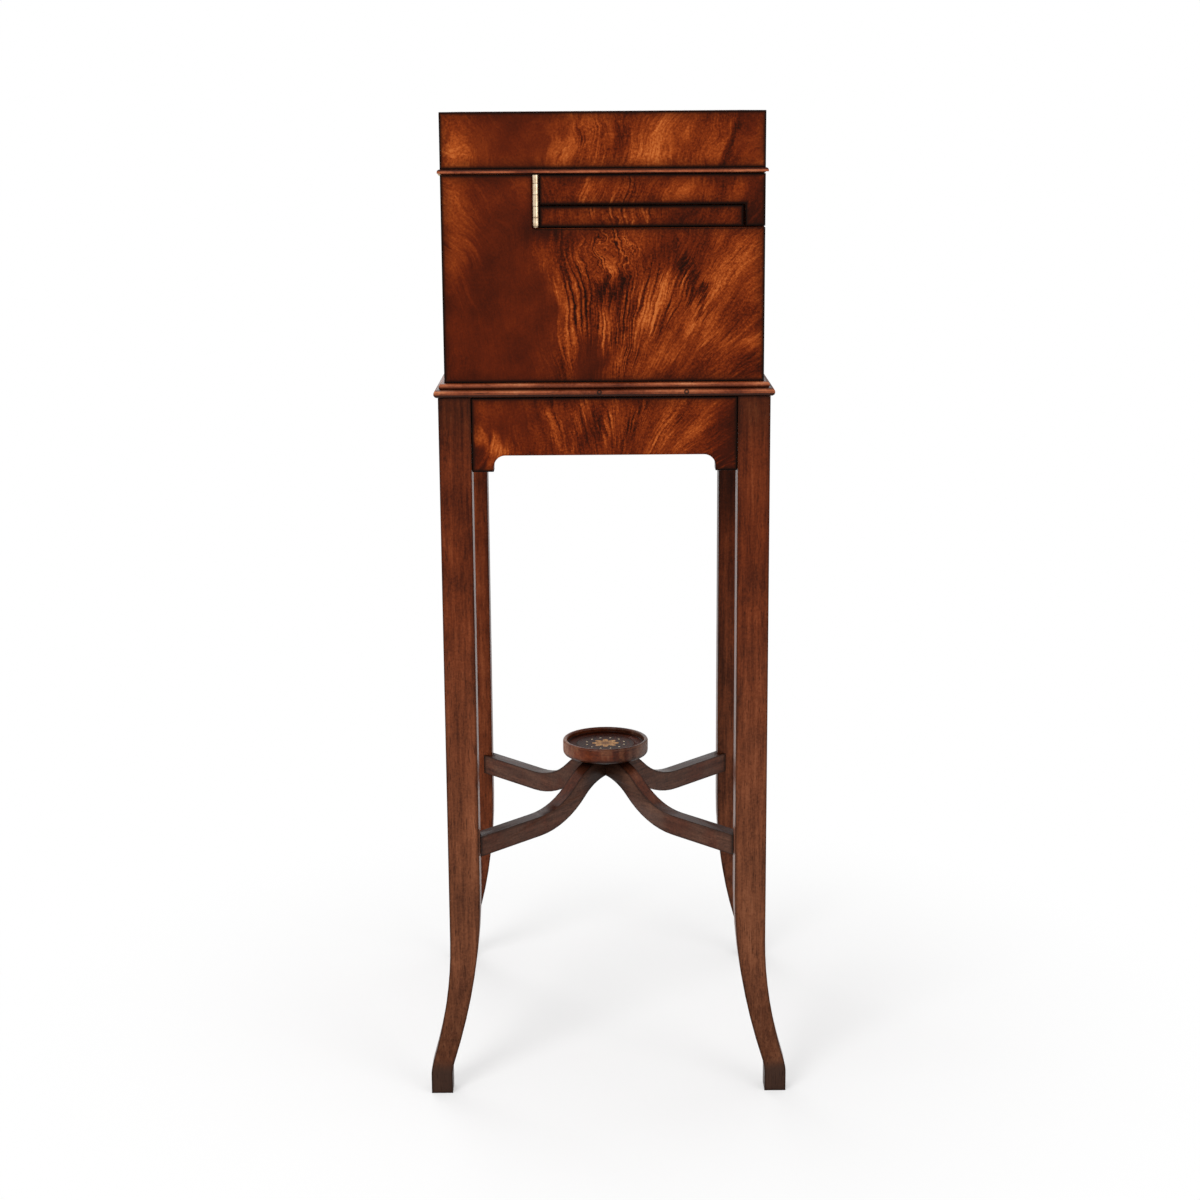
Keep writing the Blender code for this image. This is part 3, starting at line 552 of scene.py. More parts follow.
def moulding_marks(f, colour, level, along, cloud):
    """Painted highlights on the crests, painted shade on the undersides and in the groove between the
    reeds, and filled nail holes along the sides.
    """
    colour = highlight_and_shade_marks(f, colour, level, cloud, (-0.30, 0.65), (1.0, 0.80), (0.05, -0.60))
    y, z = f.object_place()[1:]
    groove = f.absolute(f.minus(z, GROOVE_LEVEL))
    colour = f.shade(colour, groove, GROOVE_SHADE)
    for place in NAIL_PLACES:
        side = f.scaled(y, -1.0, -place)
        far = f.distance(side, f.minus(z, NAIL_LEVEL))
        ring = f.absolute(f.minus(far, NAIL_RADIUS))
        colour = f.shade(colour, ring, NAIL_SHADE)
    return colour


# Dish: fall of its level a metre forwards, a painted sheen pale at the back, where it turns grey with a
# painted sheen, its painted rim highlight, dark foot, floor and the painted shade in its corner
DISH_FALL = -6.5
DISH_GREY_SHEEN = (0.020, 0.034)
RIM_HIGHLIGHT_COLOUR = srgb(160, 102, 74)
RIM_DEPTH = 0.0014
RIM_HIGHLIGHT = (0.0010, 0.0002, 0.0, 0.15)
DISH_FOOT = (0.0060, 0.0010, 0.0, 0.80)
FLOOR_TONE = -0.24
DISH_CORNER = 0.0012
CORNER_SHADE = (0.0022, 0.0, 0.0, 0.80)


def dish_marks(f, colour, level, along, cloud):
    """Dark red floor, a painted rim highlight, a dark foot, painted shade in the inner corner, and a wall
    with painted reflection streaks, paled at the back and greyed at the front by a painted sheen.
    """
    x, y, z = f.object_place()
    radius = f.distance(x, y)
    round_noise = f.noise(f.place(f.times(x, 38), f.times(y, 38), 2), 1, 2)
    # Vertical streaks of red and pale on the wall: painted reflections
    shade = f.centred(f.noise(f.place(x, y, f.scaled(z, 0.3)), 90, 2), 0.75)
    grey = f.ramp(f.total(level, shade, 0.14), SHEEN_GREY_STOPS)
    forward = f.scaled(y, -1.0, f.centred(round_noise, 0.020))
    sheen_paled_level = f.total(level, shade, f.scaled(forward, DISH_FALL, -0.02))
    red = f.ramp(sheen_paled_level, PLAIN_STOPS)
    warm = f.mix(f.fade(shade, 0.08, -0.02, 0.0, 0.9), f.ramp(sheen_paled_level, WORN_STOPS), red)
    colour = f.mix(f.fade(forward, *DISH_GREY_SHEEN), warm, grey)
    rim = f.absolute(f.minus(f.minus(DISH[1].z, z), RIM_DEPTH))
    colour = f.mix(f.fade(rim, *RIM_HIGHLIGHT), colour, RIM_HIGHLIGHT_COLOUR)
    low = f.minus(z, DISH[0].z)
    colour = f.shade(colour, low, DISH_FOOT)
    inside = f.minus(DISH[1].x - DISH_RIM, radius)
    floor = f.ramp(f.scaled(level, 1.0, FLOOR_TONE), PLAIN_STOPS)
    colour = f.mix(f.fade(inside, -0.0002, 0.0006), colour, floor)
    corner = f.absolute(f.minus(inside, DISH_CORNER))
    return f.shade(colour, corner, CORNER_SHADE)


# Other finishes

TARNISH = srgb(84, 64, 46)


def pale_metal():
    """Nickel-plated brass, brushed, with tarnish along its edges."""
    f = Finish("pale_metal", Metallic=1.0)
    x, y, z = f.object_place()
    cloud = f.noise(f.place(x, y, z), 180, 3)
    brushed = f.place(f.times(x, 900.0), f.times(y, 900.0), f.times(z, 90.0))
    scratch = f.noise(brushed)
    worn = f.total(f.scaled(cloud, 0.7), f.scaled(scratch, 0.3))
    bright = f.ramp(worn, ((0.25, (166, 140, 110)), (0.5, (206, 183, 153)), (0.72, (238, 221, 193))))
    f.colour(f.mix(f.times(f.arris(0.0016), 0.9), bright, TARNISH))
    f.roughness(f.scaled(worn, 0.22, 0.16))
    f.relief(scratch, 0.08, 0.0002)
    return f.material


def screw_dirt_and_shade():
    """Dirt and old polish in the slots and round the heads of screws; in the slots it also stands for
    painted shade.
    """
    f = Finish("screw_dirt_and_shade", Specular_IOR_Level=SOLID_GLOSS)
    x, y, z = f.object_place()
    dirt = f.noise(f.place(x, y, z), 900, 3)
    f.colour(f.ramp(dirt, ((0.3, (24, 17, 12)), (0.7, (58, 44, 32)))))
    f.roughness(f.scaled(dirt, 0.3, 0.5))
    return f.material


# How much of the mirror its frame covers
MIRROR_LAP = 0.005


def mirror_glass():
    """Silvered plate, its silvering spotted along the edges."""
    f = Finish("mirror_glass", Metallic=1.0)
    x, y, z = f.object_place()
    cloud = f.noise(f.place(x, y, z), 30, 4)
    speck = f.noise(f.place(x, y, z), 420, 2)
    low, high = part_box("lid_mirror")
    seen = (low.x + MIRROR_LAP, high.x - MIRROR_LAP, low.y + MIRROR_LAP, high.y - MIRROR_LAP)
    rim = panel_edge(f, x, y, [seen])
    aged = f.times(f.fade(f.scaled(cloud, 0.03, rim), 0.020, 0.004), f.fade(speck, 0.5, 0.62))
    f.colour(f.mix(aged, srgb(232, 236, 236), srgb(120, 112, 100)))
    f.roughness(f.total(f.scaled(aged, 0.3), f.scaled(cloud, 0.03), 0.01))
    return f.material


def lining_cloth():
    """Short-pile velvet with brushed patches."""
    f = Finish(
        "lining_cloth", Roughness=0.92, Sheen_Weight=0.4, Sheen_Roughness=0.35, Sheen_Tint=srgb(200, 92, 92)
    )
    x, y, z = f.object_place()
    nap = f.noise(f.place(x, y, z), 1600, 2)
    brushed = f.noise(f.place(x, f.times(y, 1.8), z), 30, 3)
    level = f.total(f.scaled(nap, 0.4), f.scaled(brushed, 0.6))
    f.colour(f.ramp(level, ((0.2, (40, 9, 12)), (0.5, (82, 22, 26)), (0.8, (122, 44, 46)))))
    f.relief(nap, 0.5, 0.0006)
    return f.material


INLAY_DOTS = 12
INLAY_DOT_RING = 0.0200
INLAY_DOT_RADIUS = 0.0010
ROSETTE_PETALS = 8
ROSETTE_RADIUS = 0.0140


def dish_inlay():
    """Mahogany disc with a ring of dots and a petalled rosette in light wood."""
    f = Finish("dish_inlay", Specular_IOR_Level=INLAY_GLOSS)
    x, y = f.object_place()[:2]
    radius = f.distance(x, y)
    angle = f.math("ARCTAN2", y, x)
    grain = f.noise(f.place(f.times(x, 40), f.times(y, 320), 3), 1, 3)
    ground = f.ramp(grain, ((0.25, (30, 10, 5)), (0.55, (52, 19, 9)), (0.85, (80, 34, 17))))
    light = f.ramp(grain, ((0.25, (150, 100, 54)), (0.6, (198, 148, 92)), (0.9, (228, 192, 140))))
    sector = 2 * math.pi / INLAY_DOTS
    in_sector = f.minus(f.math("FLOORED_MODULO", angle, sector), sector / 2)
    dot_side = f.times(in_sector, INLAY_DOT_RING)
    dot_far = f.distance(dot_side, f.minus(radius, INLAY_DOT_RING))
    dots = f.math("LESS_THAN", dot_far, INLAY_DOT_RADIUS)
    lobe = f.absolute(f.math("COSINE", f.times(angle, ROSETTE_PETALS / 2)))
    outline = f.scaled(f.math("POWER", lobe, 0.6), ROSETTE_RADIUS * 0.62, ROSETTE_RADIUS * 0.38)
    petals = f.math("LESS_THAN", radius, outline)
    shade = f.fade(f.math("DIVIDE", radius, outline), 0.20, 0.75, 0.80, 0.0)
    petal = f.mix(shade, light, srgb(92, 50, 22))
    f.colour(f.mix(petals, f.mix(dots, ground, srgb(226, 206, 168)), petal))
    f.roughness(f.scaled(grain, 0.14, 0.18))
    return f.material


def in_metres(patches):
    """Patches written in millimetres, with their four lengths in metres."""
    return [(u / 1000, v / 1000, wide / 1000, tall / 1000, *rest) for u, v, wide, tall, *rest in patches]


# The figure of the side veneer, read from the photograph: (u, v, half width, half height, slant,
# lightness, figure), with u towards the front and v up; the roots are in metres
SIDE_ROOT = (0.008, 0.630)
APRON_ROOT = (0.000, 0.560)
APRON_SPREAD = 0.6
CASE_PATCHES = in_metres((
    (-136, 850, 16, 55, 0, 0.27, 0.2),
    (-98, 780, 70, 140, 0, -0.15, -0.62),
    (-36, 838, 18, 9, 0.2, -0.22, 0),
    (-56, 816, 10, 14, -0.1, 0.06, 0.5),
    (-24, 788, 16, 44, -0.25, 0.05, 1.1),
    (-36, 776, 6, 18, -0.1, 0.20, 0.2),
    (-34, 738, 9, 28, 0.1, 0.10, 0.9),
    (-12, 725, 13, 26, 0, -0.28, -0.9),
    (1, 763, 8, 18, 0, 0.18, 0.9),
    (6, 792, 15, 11, 0, -0.34, 0.3),
    (14, 758, 5, 24, 0.1, -0.22, 0.2),
    (24, 750, 5, 32, 0.15, 0.16, 0.8),
    (9, 826, 22, 18, 0, 0.14, 0.9),
    (30, 772, 18, 34, 0.2, 0.02, 0.6),
    (38, 780, 14, 28, 0.4, 0.11, 0.6),
    (60, 784, 14, 24, 0.5, 0.20, 0.9),
    (54, 762, 9, 12, 0.6, -0.12, 0.4),
    (78, 804, 9, 24, -0.5, -0.30, 0),
    (90, 780, 11, 14, -0.8, -0.24, 0),
    (92, 826, 8, 22, 0.3, -0.14, 0),
    (116, 812, 16, 34, 0.6, 0.26, 0.3),
    (132, 772, 16, 16, 0.4, -0.07, 0.2),
    (92, 760, 19, 15, 0.4, 0.24, 0.2),
    (63, 732, 18, 11, 0.2, 0.23, 0),
    (116, 744, 22, 8, -0.8, 0.18, 0),
    (138, 722, 16, 12, 0, -0.20, 0),
    (23, 722, 12, 13, 0.7, -0.16, 0.4),
))
LID_PATCHES = in_metres((
    (-134, 918, 14, 18, 0, 0.24, 0.2),
    (-85, 930, 44, 34, 0, -0.12, -0.60),
    (-36, 914, 18, 8, 0.8, 0.20, 0),
    (-19, 931, 4, 20, 0, -0.20, 0.2),
    (-6, 926, 12, 20, 0, 0.10, 0.3),
    (18, 931, 7, 22, 0.1, -0.26, 0.2),
    (37, 918, 12, 14, 0.3, 0.15, 0.3),
    (74, 934, 26, 14, 0.7, 0.16, 0),
    (96, 916, 16, 12, 0.5, 0.08, 0),
    (118, 925, 4, 26, 0.4, -0.34, 0),
    (138, 925, 12, 30, 0, -0.10, -0.3),
))
ARM_PATCHES = in_metres((
    (-40, 882, 24, 18, 0, -0.08, 0),
    (-14, 876, 7, 20, 0, 0.14, 0.4),
    (22, 874, 10, 30, 0.1, 0.12, 0.5),
    (8, 857, 10, 10, 0, 0.18, 0.6),
    (38, 858, 10, 10, 0.2, 0.16, 0.5),
    (82, 881, 20, 12, 0.6, 0.18, 0),
    (144, 868, 12, 50, 0, -0.26, -0.3),
))
APRON_PATCHES = in_metres((
    (-95, 672, 30, 24, 0, -0.06, -0.5),
    (-106, 646, 14, 12, -0.6, 0.26, 0.3),
    (-46, 664, 6, 34, -0.3, 0.14, 0.7),
    (-26, 664, 5, 34, 0.3, 0.12, 0.6),
    (-8, 668, 6, 28, 0.3, -0.16, 0.2),
    (3, 664, 5, 34, 0.3, 0.12, 0.6),
    (18, 652, 8, 18, 0.4, -0.14, 0.2),
    (28, 672, 8, 20, 0.6, 0.10, 0.6),
    (60, 664, 9, 32, 0.6, 0.16, 0.5),
    (90, 664, 10, 34, 0.7, 0.16, 0.1),
    (118, 665, 16, 40, 0, -0.20, -0.3),
    (-117, 632, 9, 16, 0, -0.30, -0.4),
    (114, 631, 10, 14, 0, -0.22, -0.3),
))
HINGE_U = -(ARM_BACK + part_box("arm_hinge_left_case_leaf")[1].y) / 2
# The lid's top is cut from the same flitch: how much longer its figure is, and where its middle lies
TOP_STRETCH = 1.3
TOP_MIDDLE = (CASE_LOW + CASE_TOP) / 2


def turned_leaf(patches):
    """The next leaf of a veneer, turned over like a page."""
    return [(-u, v, wide, tall, -slant, gain, more) for u, v, wide, tall, slant, gain, more in patches]


def top_leaf(patches):
    """The case's figure laid flat and lengthened, for the lid's top."""
    return [
        (u, (v - TOP_MIDDLE) * TOP_STRETCH, wide, tall * TOP_STRETCH, slant / TOP_STRETCH, gain, more)
        for u, v, wide, tall, slant, gain, more in patches
    ]


def side_finishes():
    """Veneers of a side: one figure runs over lid, case and arms, each with its own glazed edge."""
    depth = HALF_Y
    case_panels = [(-depth, depth, MOULD_TOP, ARM_LOW), (-depth, HINGE_U, MOULD_TOP, CASE_TOP)]
    arm_rail = (-ARM_BACK, -ARM_FRONT, LOWER_ARM[1].z + ARM_GAP, ARM_HIGH)
    arm_drop = (-LOWER_ARM[0].y + ARM_END_GAP, -ARM_FRONT, ARM_LOW, ARM_HIGH)
    tongue = (-LOWER_ARM[1].y, -LOWER_ARM[0].y, LOWER_ARM[0].z, LOWER_ARM[1].z)
    apron = (APRON[0].y, APRON[1].y, APRON[0].z, APRON[1].z)
    lid = (-depth, depth, BEAD_TOP, LID_TOP)
    axes = ("-y", "z")
    return {
        "case": flame("flame_side_case", axes, SIDE_ROOT, case_panels, CASE_PATCHES),
        "lid": flame("flame_side_lid", axes, SIDE_ROOT, [lid], LID_PATCHES, tone=0.08),
        "upper": flame("flame_upper_arm", axes, SIDE_ROOT, [arm_rail, arm_drop], ARM_PATCHES, tone=-0.04),
        "lower": flame("flame_lower_arm", axes, SIDE_ROOT, [tongue], ARM_PATCHES, tone=-0.05),
        "apron": flame(
            "flame_side_apron", axes, APRON_ROOT, [apron], APRON_PATCHES, tone=-0.02, spread=APRON_SPREAD
        ),
    }


def front_finishes():
    """Veneers of front and back, the next leaves of the side's figure."""
    wide = HALF_X
    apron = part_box("apron_front")
    apron_panel = (apron[0].x, apron[1].x, apron[0].z, apron[1].z)
    case_panel = (-wide, wide, MOULD_TOP, CASE_TOP)
    lid_panel = (-wide, wide, BEAD_TOP, LID_TOP)
    axes = ("x", "z")
    leaves = (
        ("case", SIDE_ROOT, case_panel, CASE_PATCHES, 0.0, 1.0),
        ("lid", SIDE_ROOT, lid_panel, LID_PATCHES, 0.08, 1.0),
        ("apron", APRON_ROOT, apron_panel, APRON_PATCHES, -0.02, APRON_SPREAD),
    )
    made = {}
    for name, root, panel, patches, tone, spread in leaves:
        turned = (-root[0], root[1])
        figure = turned_leaf(patches)
        made[name] = flame(
            "flame_front_" + name, axes, turned, [panel], figure, tone, seed=4.0, book=-1.0, spread=spread
        )
    return made


# Pieces

# Widths of the softened edges
VENEER_EDGE = 0.0006
THIN_EDGE = 0.0003
INNER_EDGE = 0.0008
GLASS_EDGE = 0.0004
METAL_EDGE = 0.0002


def joined(names, corners, chooser):
    """Copy of one or more nodes as one mesh, with mitred corners closed and a finish for each face."""
    work = bmesh.new()
    for name in names:
        work.from_mesh(NODES[name].data)
    if corners:
        for vertex in work.verts:
            out_x = abs(vertex.co.x) - HALF_X
            out_y = abs(vertex.co.y) - HALF_Y
            if abs(out_x - out_y) < MITRE_REACH:
                out = max(out_x, out_y)
                vertex.co.x = math.copysign(HALF_X + out, vertex.co.x)
                vertex.co.y = math.copysign(HALF_Y + out, vertex.co.y)
    bmesh.ops.remove_doubles(work, verts=work.verts, dist=WELD)
    work.normal_update()
    if corners:
        inner = [face for face in work.faces if in_mitre(face)]
        bmesh.ops.delete(work, geom=inner, context="FACES")
    if chooser is not None:
        for face in work.faces:
            face.material_index = chooser(face.calc_center_median(), face.normal)
    bmesh.ops.dissolve_limit(
        work, angle_limit=FLAT_ANGLE, verts=work.verts, edges=work.edges, delimit={"MATERIAL"}
    )
    return finished_mesh(names[0] + "_looks", work)


def finished_mesh(name, work):
    """Mesh of what was worked on, with outward normals and smooth shading between sharp edges."""
    bmesh.ops.recalc_face_normals(work, faces=work.faces)
    mesh = bpy.data.meshes.new(name)
    work.to_mesh(mesh)
    work.free()
    mesh.shade_smooth()
    mesh.set_sharp_from_angle(angle=SHARP_ANGLE)
    return mesh


def in_mitre(face):
    """Whether a face lies in the plane where two mitred strips meet."""
    if min(abs(face.normal.x), abs(face.normal.y)) < 0.6:
        return False
    gaps = [(abs(v.co.x) - HALF_X) - (abs(v.co.y) - HALF_Y) for v in face.verts]
    return max(abs(gap) for gap in gaps) < WELD


def add_object(name, data):
    made = bpy.data.objects.new(name, data)
    bpy.context.scene.collection.objects.link(made)
    return made


def add_piece(name, mesh, finishes, node):
    """Object with its finishes, carried by the body of a CAD node."""
    piece = add_object(name, mesh)
    for finish in finishes:
        mesh.materials.append(finish)
    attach(piece, NODES[node]["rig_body"])
    return piece


def dress(name, names, finishes, chooser=None, edge=0.0, corners=False):
    """Piece that stands for CAD nodes: softened edges, and a finish chosen for each face."""
    piece = add_piece(name, joined(names, corners, chooser), finishes, names[0])
    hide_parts(*names)
    if edge:
        bevel = piece.modifiers.new("edges", "BEVEL")
        bevel.width = edge
        bevel.segments = 3
        bevel.limit_method = "ANGLE"
        bevel.angle_limit = SHARP_ANGLE
        bevel.harden_normals = True


def dress_node(node, *looks, **settings):
    """Piece that stands for one CAD node."""
    dress(node + "_dressed", [node], *looks, **settings)


def across_chooser(centre, normal):
    """Strips round the case: 0 where they run along the sides, 1 along front and back."""
    return 0 if abs(centre.x) - HALF_X > abs(centre.y) - HALF_Y else 1


def wall_chooser(centre, normal):
    """Mitred walls: 0 and 1 outside, on sides and on front and back, 2 and 3 on their other faces."""
    if abs(normal.x) > 0.9 and abs(centre.x) > HALF_X - WELD:
        return 0
    if abs(normal.y) > 0.9 and abs(centre.y) > HALF_Y - WELD:
        return 1
    return 2 + across_chooser(centre, normal)


def dress_case(side, front, inner):
    for name in ("case", "lid"):
        walls = [f"{name}_{place}" for place in SIDES]
        dress(name + "_walls", walls, [side[name], front[name], *inner], wall_chooser, VENEER_EDGE, True)
    top = (-HALF_X, HALF_X, -HALF_Y, HALF_Y)
    root = (SIDE_ROOT[0], (SIDE_ROOT[1] - TOP_MIDDLE) * TOP_STRETCH)
    veneer = flame("flame_lid_top", ("x", "y"), root, [top], top_leaf(CASE_PATCHES), seed=9.0)
    dress("lid_top", ["lid_panel"], [veneer], edge=THIN_EDGE)


def dress_mouldings():
    for name, edge, marks in (("base_moulding", 0.0, moulding_marks), ("lid_bead", THIN_EDGE, bead_marks)):
        along_y = plain(name + "_side", 90, seed=2.0, edges=0.0, gloss=TRIM_GLOSS, extra=marks)
        along_x = plain(name + "_front", 0, seed=3.0, edges=0.0, gloss=TRIM_GLOSS, extra=marks)
        strips = [f"{name}_{side}" for side in SIDES]
        dress(name, strips, [along_y, along_x], across_chooser, edge, True)


# Each leg is cut from its own piece of wood: its tone, how worn it is, and how dark the painted shadow of
# the aprons is on it; front_right's darker tone is partly painted shade
LEG_WOOD = {
    "front_left": (0.02, 1, 0),
    "front_right": (-0.11, 0.8, 0.65),
    "back_left": (0, 1, 0),
    "back_right": (0.03, 0.3, 0),
}


def dish_chooser(centre, normal):
    """Faces of the dish: 0 outside and on its rim, 1 inside and below."""
    return 0 if math.hypot(centre.x, centre.y) > DISH[1].x - DISH_RIM else 1


def dress_stand(side, front):
    for number, (corner, (tone, worn_share, shade)) in enumerate(LEG_WOOD.items()):
        marks = functools.partial(leg_marks, worn_share=worn_share, shade=shade)
        timber = plain(
            f"leg_{corner}", "up", tone, seed=5.0 + 3 * number, edges=0.92, reach=WIDE_GLAZE_REACH,
            extra=marks, lively=1.3
        )
        dress_node(f"leg_{corner}", [timber])
    for name in SIDES:
        veneers = side if name in ("left", "right") else front
        dress_node("apron_" + name, [veneers["apron"]], edge=VENEER_EDGE)
    heading = math.degrees(math.atan2(-LEG[1].y, -LEG[1].x))
    # The 0.07 lighter tone of the rail rising to the right is painted light
    for name, angle, tone in (("rising_right", heading, 0.07), ("rising_left", -heading, 0.0)):
        finish = plain(f"stretcher_{name}", angle, tone, 6.0 + angle, gloss=RAIL_GLOSS, extra=rail_marks)
        dress(f"stretcher_{name}_dressed", ["stretcher_rail_" + name], [finish])
    outside = plain("dish_mahogany", 90, 0.0, 8.0, 0.9, WIDE_GLAZE_REACH, DISH_GLOSS, dish_marks)
    inside = plain("dish_floor", 90, seed=8.0, edges=0.6, gloss=INLAY_GLOSS, extra=dish_marks)
    dress("dish_dressed", ["stretcher_dish"], [outside, inside], dish_chooser)
    dress_node("dish_inlay", [dish_inlay()])


def arm_chooser(centre, normal):
    """Faces of a swing arm: 0 on the veneered outside, 1 on its dark long edges, 2 on its ends and back."""
    if normal.x * centre.x > 0 and abs(normal.x) > 0.9:
        return 0
    return 1 if abs(normal.z) > 0.9 else 2


# Depths under the veneer between which the painted shadow on an arm's edges thins out
ARM_GAP_SHADOW = (0.0015, 0.0045, 0.95, 0.0)


def arm_edge_shadow_marks(f, colour, level, along, cloud):
    """Near-black painted shadow in the gaps, where the edges of an arm come out to the veneer."""
    depth = f.minus(HALF_X, f.absolute(f.object_place()[0]))
    return f.mix(f.fade(depth, *ARM_GAP_SHADOW), colour, GAP_SHADOW)


def dress_arms(side):
    edge = plain("arm_edge", 90, -0.20, 14.0, extra=arm_edge_shadow_marks)
    solid = plain("arm_mahogany", 90, 0.02, 13.0, edges=0.5, extra=arm_edge_shadow_marks)
    for name in ("left", "right"):
        for arm in ("upper", "lower"):
            dress_node(f"{arm}_arm_{name}", [side[arm], edge, solid], arm_chooser)


def dress_inside(inner):
    across, along = inner
    dress("case_floor", ["case_bottom"], [along])
    dress_node("divider_long", [along], edge=INNER_EDGE)
    for number in (1, 2):
        dress_node(f"divider_cross_{number}", [across], edge=INNER_EDGE)
    dress_lining()
    dress_node("mirror_frame", inner, across_chooser, edge=INNER_EDGE)
    dress("mirror_plate", ["lid_mirror"], [mirror_glass()], edge=GLASS_EDGE)


# The velvet pad: rows of its mesh in a compartment, and how far and how deep it is drawn down beside
# the dividers and the walls
PAD_ROWS = 14
PAD_ROLL = 0.010
DIVIDER_DIP = 0.0006
WALL_DIP = 0.0014
PAD_RIPPLE = 0.00015
# Two waves of the ripple, in radians a metre along X and Y
RIPPLE_WAVES = ((90, 60), (-40, 75))


def pad_stops(start, end):
    """Places from one side of a compartment to the other, closer together towards its sides."""
    turns = [math.pi * i / PAD_ROWS for i in range(PAD_ROWS + 1)]
    return [start + (end - start) * (1 - math.cos(turn)) / 2 for turn in turns]


def drawn_down(gap, depth):
    """How far the pad is drawn down at that distance from what holds it."""
    return depth * max(0.0, 1 - max(gap, 0.0) / PAD_ROLL) ** 2


def pad_dip(x, y, high, rows):
    """How far the pad lies below its crown at a place."""
    dip = drawn_down(min(high.x - abs(x), high.y - abs(y)), WALL_DIP)
    long_row, cross_rows = rows
    dip = max(dip, drawn_down(max(long_row[0] - y, y - long_row[1]), DIVIDER_DIP))
    if y < long_row[1]:
        for start, end in cross_rows:
            dip = max(dip, drawn_down(max(start - x, x - end), DIVIDER_DIP))
    first, second = [math.sin(across * x + along * y) for across, along in RIPPLE_WAVES]
    return dip + PAD_RIPPLE * (1 + first * second) / 2


def dress_lining():
    """Velvet pad on the floor, crowned in each compartment."""
    low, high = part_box("floor_lining")
    long_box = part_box("divider_long")
    cross_boxes = [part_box(f"divider_cross_{number}") for number in (1, 2)]
    long_row = (long_box[0].y, long_box[1].y)
    cross_rows = [(box[0].x, box[1].x) for box in cross_boxes]
    xs = pad_stops(low.x, cross_rows[0][0])
    xs += pad_stops(cross_rows[0][1], cross_rows[1][0])
    xs += pad_stops(cross_rows[1][1], high.x)
    ys = pad_stops(low.y, long_row[0]) + pad_stops(long_row[1], high.y)
    work = bmesh.new()
    top = []
    for y in ys:
        heights = [high.z - pad_dip(x, y, high, (long_row, cross_rows)) for x in xs]
        top.append([work.verts.new((x, y, z)) for x, z in zip(xs, heights)])
    for row, following in zip(top, top[1:]):
        for i in range(len(xs) - 1):
            work.faces.new((row[i], row[i + 1], following[i + 1], following[i]))
    border = top[0][:-1] + [row[-1] for row in top[:-1]] + top[-1][:0:-1] + [row[0] for row in top[:0:-1]]
    foot = [work.verts.new((vertex.co.x, vertex.co.y, low.z)) for vertex in border]
    for i, vertex in enumerate(border):
        following = (i + 1) % len(border)
        work.faces.new((vertex, foot[i], foot[following], border[following]))
    work.faces.new(foot[::-1])
    mesh = finished_mesh("lining_looks", work)
    pad = add_piece("lining", mesh, [lining_cloth()], "floor_lining")
    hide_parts("floor_lining")


# Slotted screws: two half discs over a dark ring, a little proud of the leaf that they hold
SCREW_RADIUS = 0.0018
SCREW_RING = 0.0020
SCREW_SLOT = 0.00026
SCREW_PROUD = 0.00012
SCREW_SINK = 0.0002
SCREW_STEPS = 12
# Turn of the first slot of a leaf, and what each next one adds
SCREW_TURNS = (0.5, 1.1)
# Where the screws sit: halfway over the bare width of a leaf, on the face that opens towards its mate
LID_LEAF_MIDDLE = 0.0070
LID_LEAF_FACE = 0.00015
ARM_LEAF_MIDDLE = 0.0046
ARM_LEAF_FACE = 0.0019
# Places of the screws as shares of a leaf's length, and the side of an arm's leaf that they hold
LID_SCREWS = (0.18, 0.5, 0.82)
ARM_SCREWS = (
    ("case_leaf", (0.16, 0.5, 0.84), 1),
    ("upper_leaf", (0.25, 0.75), -1),
    ("lower_leaf", (0.22, 0.62), -1),
)


def arc_points(radius, height, start, sweep):
    turns = [start + sweep * i / SCREW_STEPS for i in range(SCREW_STEPS + 1)]
    return [Vector((radius * math.cos(turn), radius * math.sin(turn), height)) for turn in turns]


def half_head(radius, height):
    """Outline of the half of a screw head on one side of its slot."""
    start = math.asin(SCREW_SLOT / radius)
    return arc_points(radius, height, start, math.pi - 2 * start)


def add_prism(work, rings, matrix, finish):
    """Closed solid over outlines of the same number of points, from the lowest to the highest."""
    loops = [[work.verts.new(matrix @ point) for point in ring] for ring in rings]
    faces = [work.faces.new(loops[0][::-1]), work.faces.new(loops[-1])]
    for low, high in zip(loops, loops[1:]):
        for i, corner in enumerate(low):
            j = (i + 1) % len(low)
            faces.append(work.faces.new((corner, low[j], high[j], high[i])))
    for face in faces:
        face.material_index = finish


def add_screw(work, place, out, turn):
    matrix = Matrix.Translation(place) @ Vector(out).to_track_quat("Z", "Y").to_matrix().to_4x4()
    levels = (-SCREW_SINK, SCREW_PROUD / 4)
    add_prism(work, [arc_points(SCREW_RING, level, 0, 2 * math.pi)[:-1] for level in levels], matrix, 1)
    rings = [half_head(SCREW_RADIUS, -SCREW_SINK), half_head(SCREW_RADIUS, SCREW_PROUD * 0.6)]
    rings.append(half_head(SCREW_RADIUS * 0.9, SCREW_PROUD))
    for half in (turn, turn + math.pi):
        add_prism(work, rings, matrix @ Matrix.Rotation(half, 4, "Z"), 0)


def dress_screws(leaf, places, out, finishes):
    work = bmesh.new()
    for number, place in enumerate(places):
        add_screw(work, place, out, SCREW_TURNS[0] + SCREW_TURNS[1] * number)
    add_piece(leaf + "_screws", finished_mesh(leaf + "_screws", work), finishes, leaf)


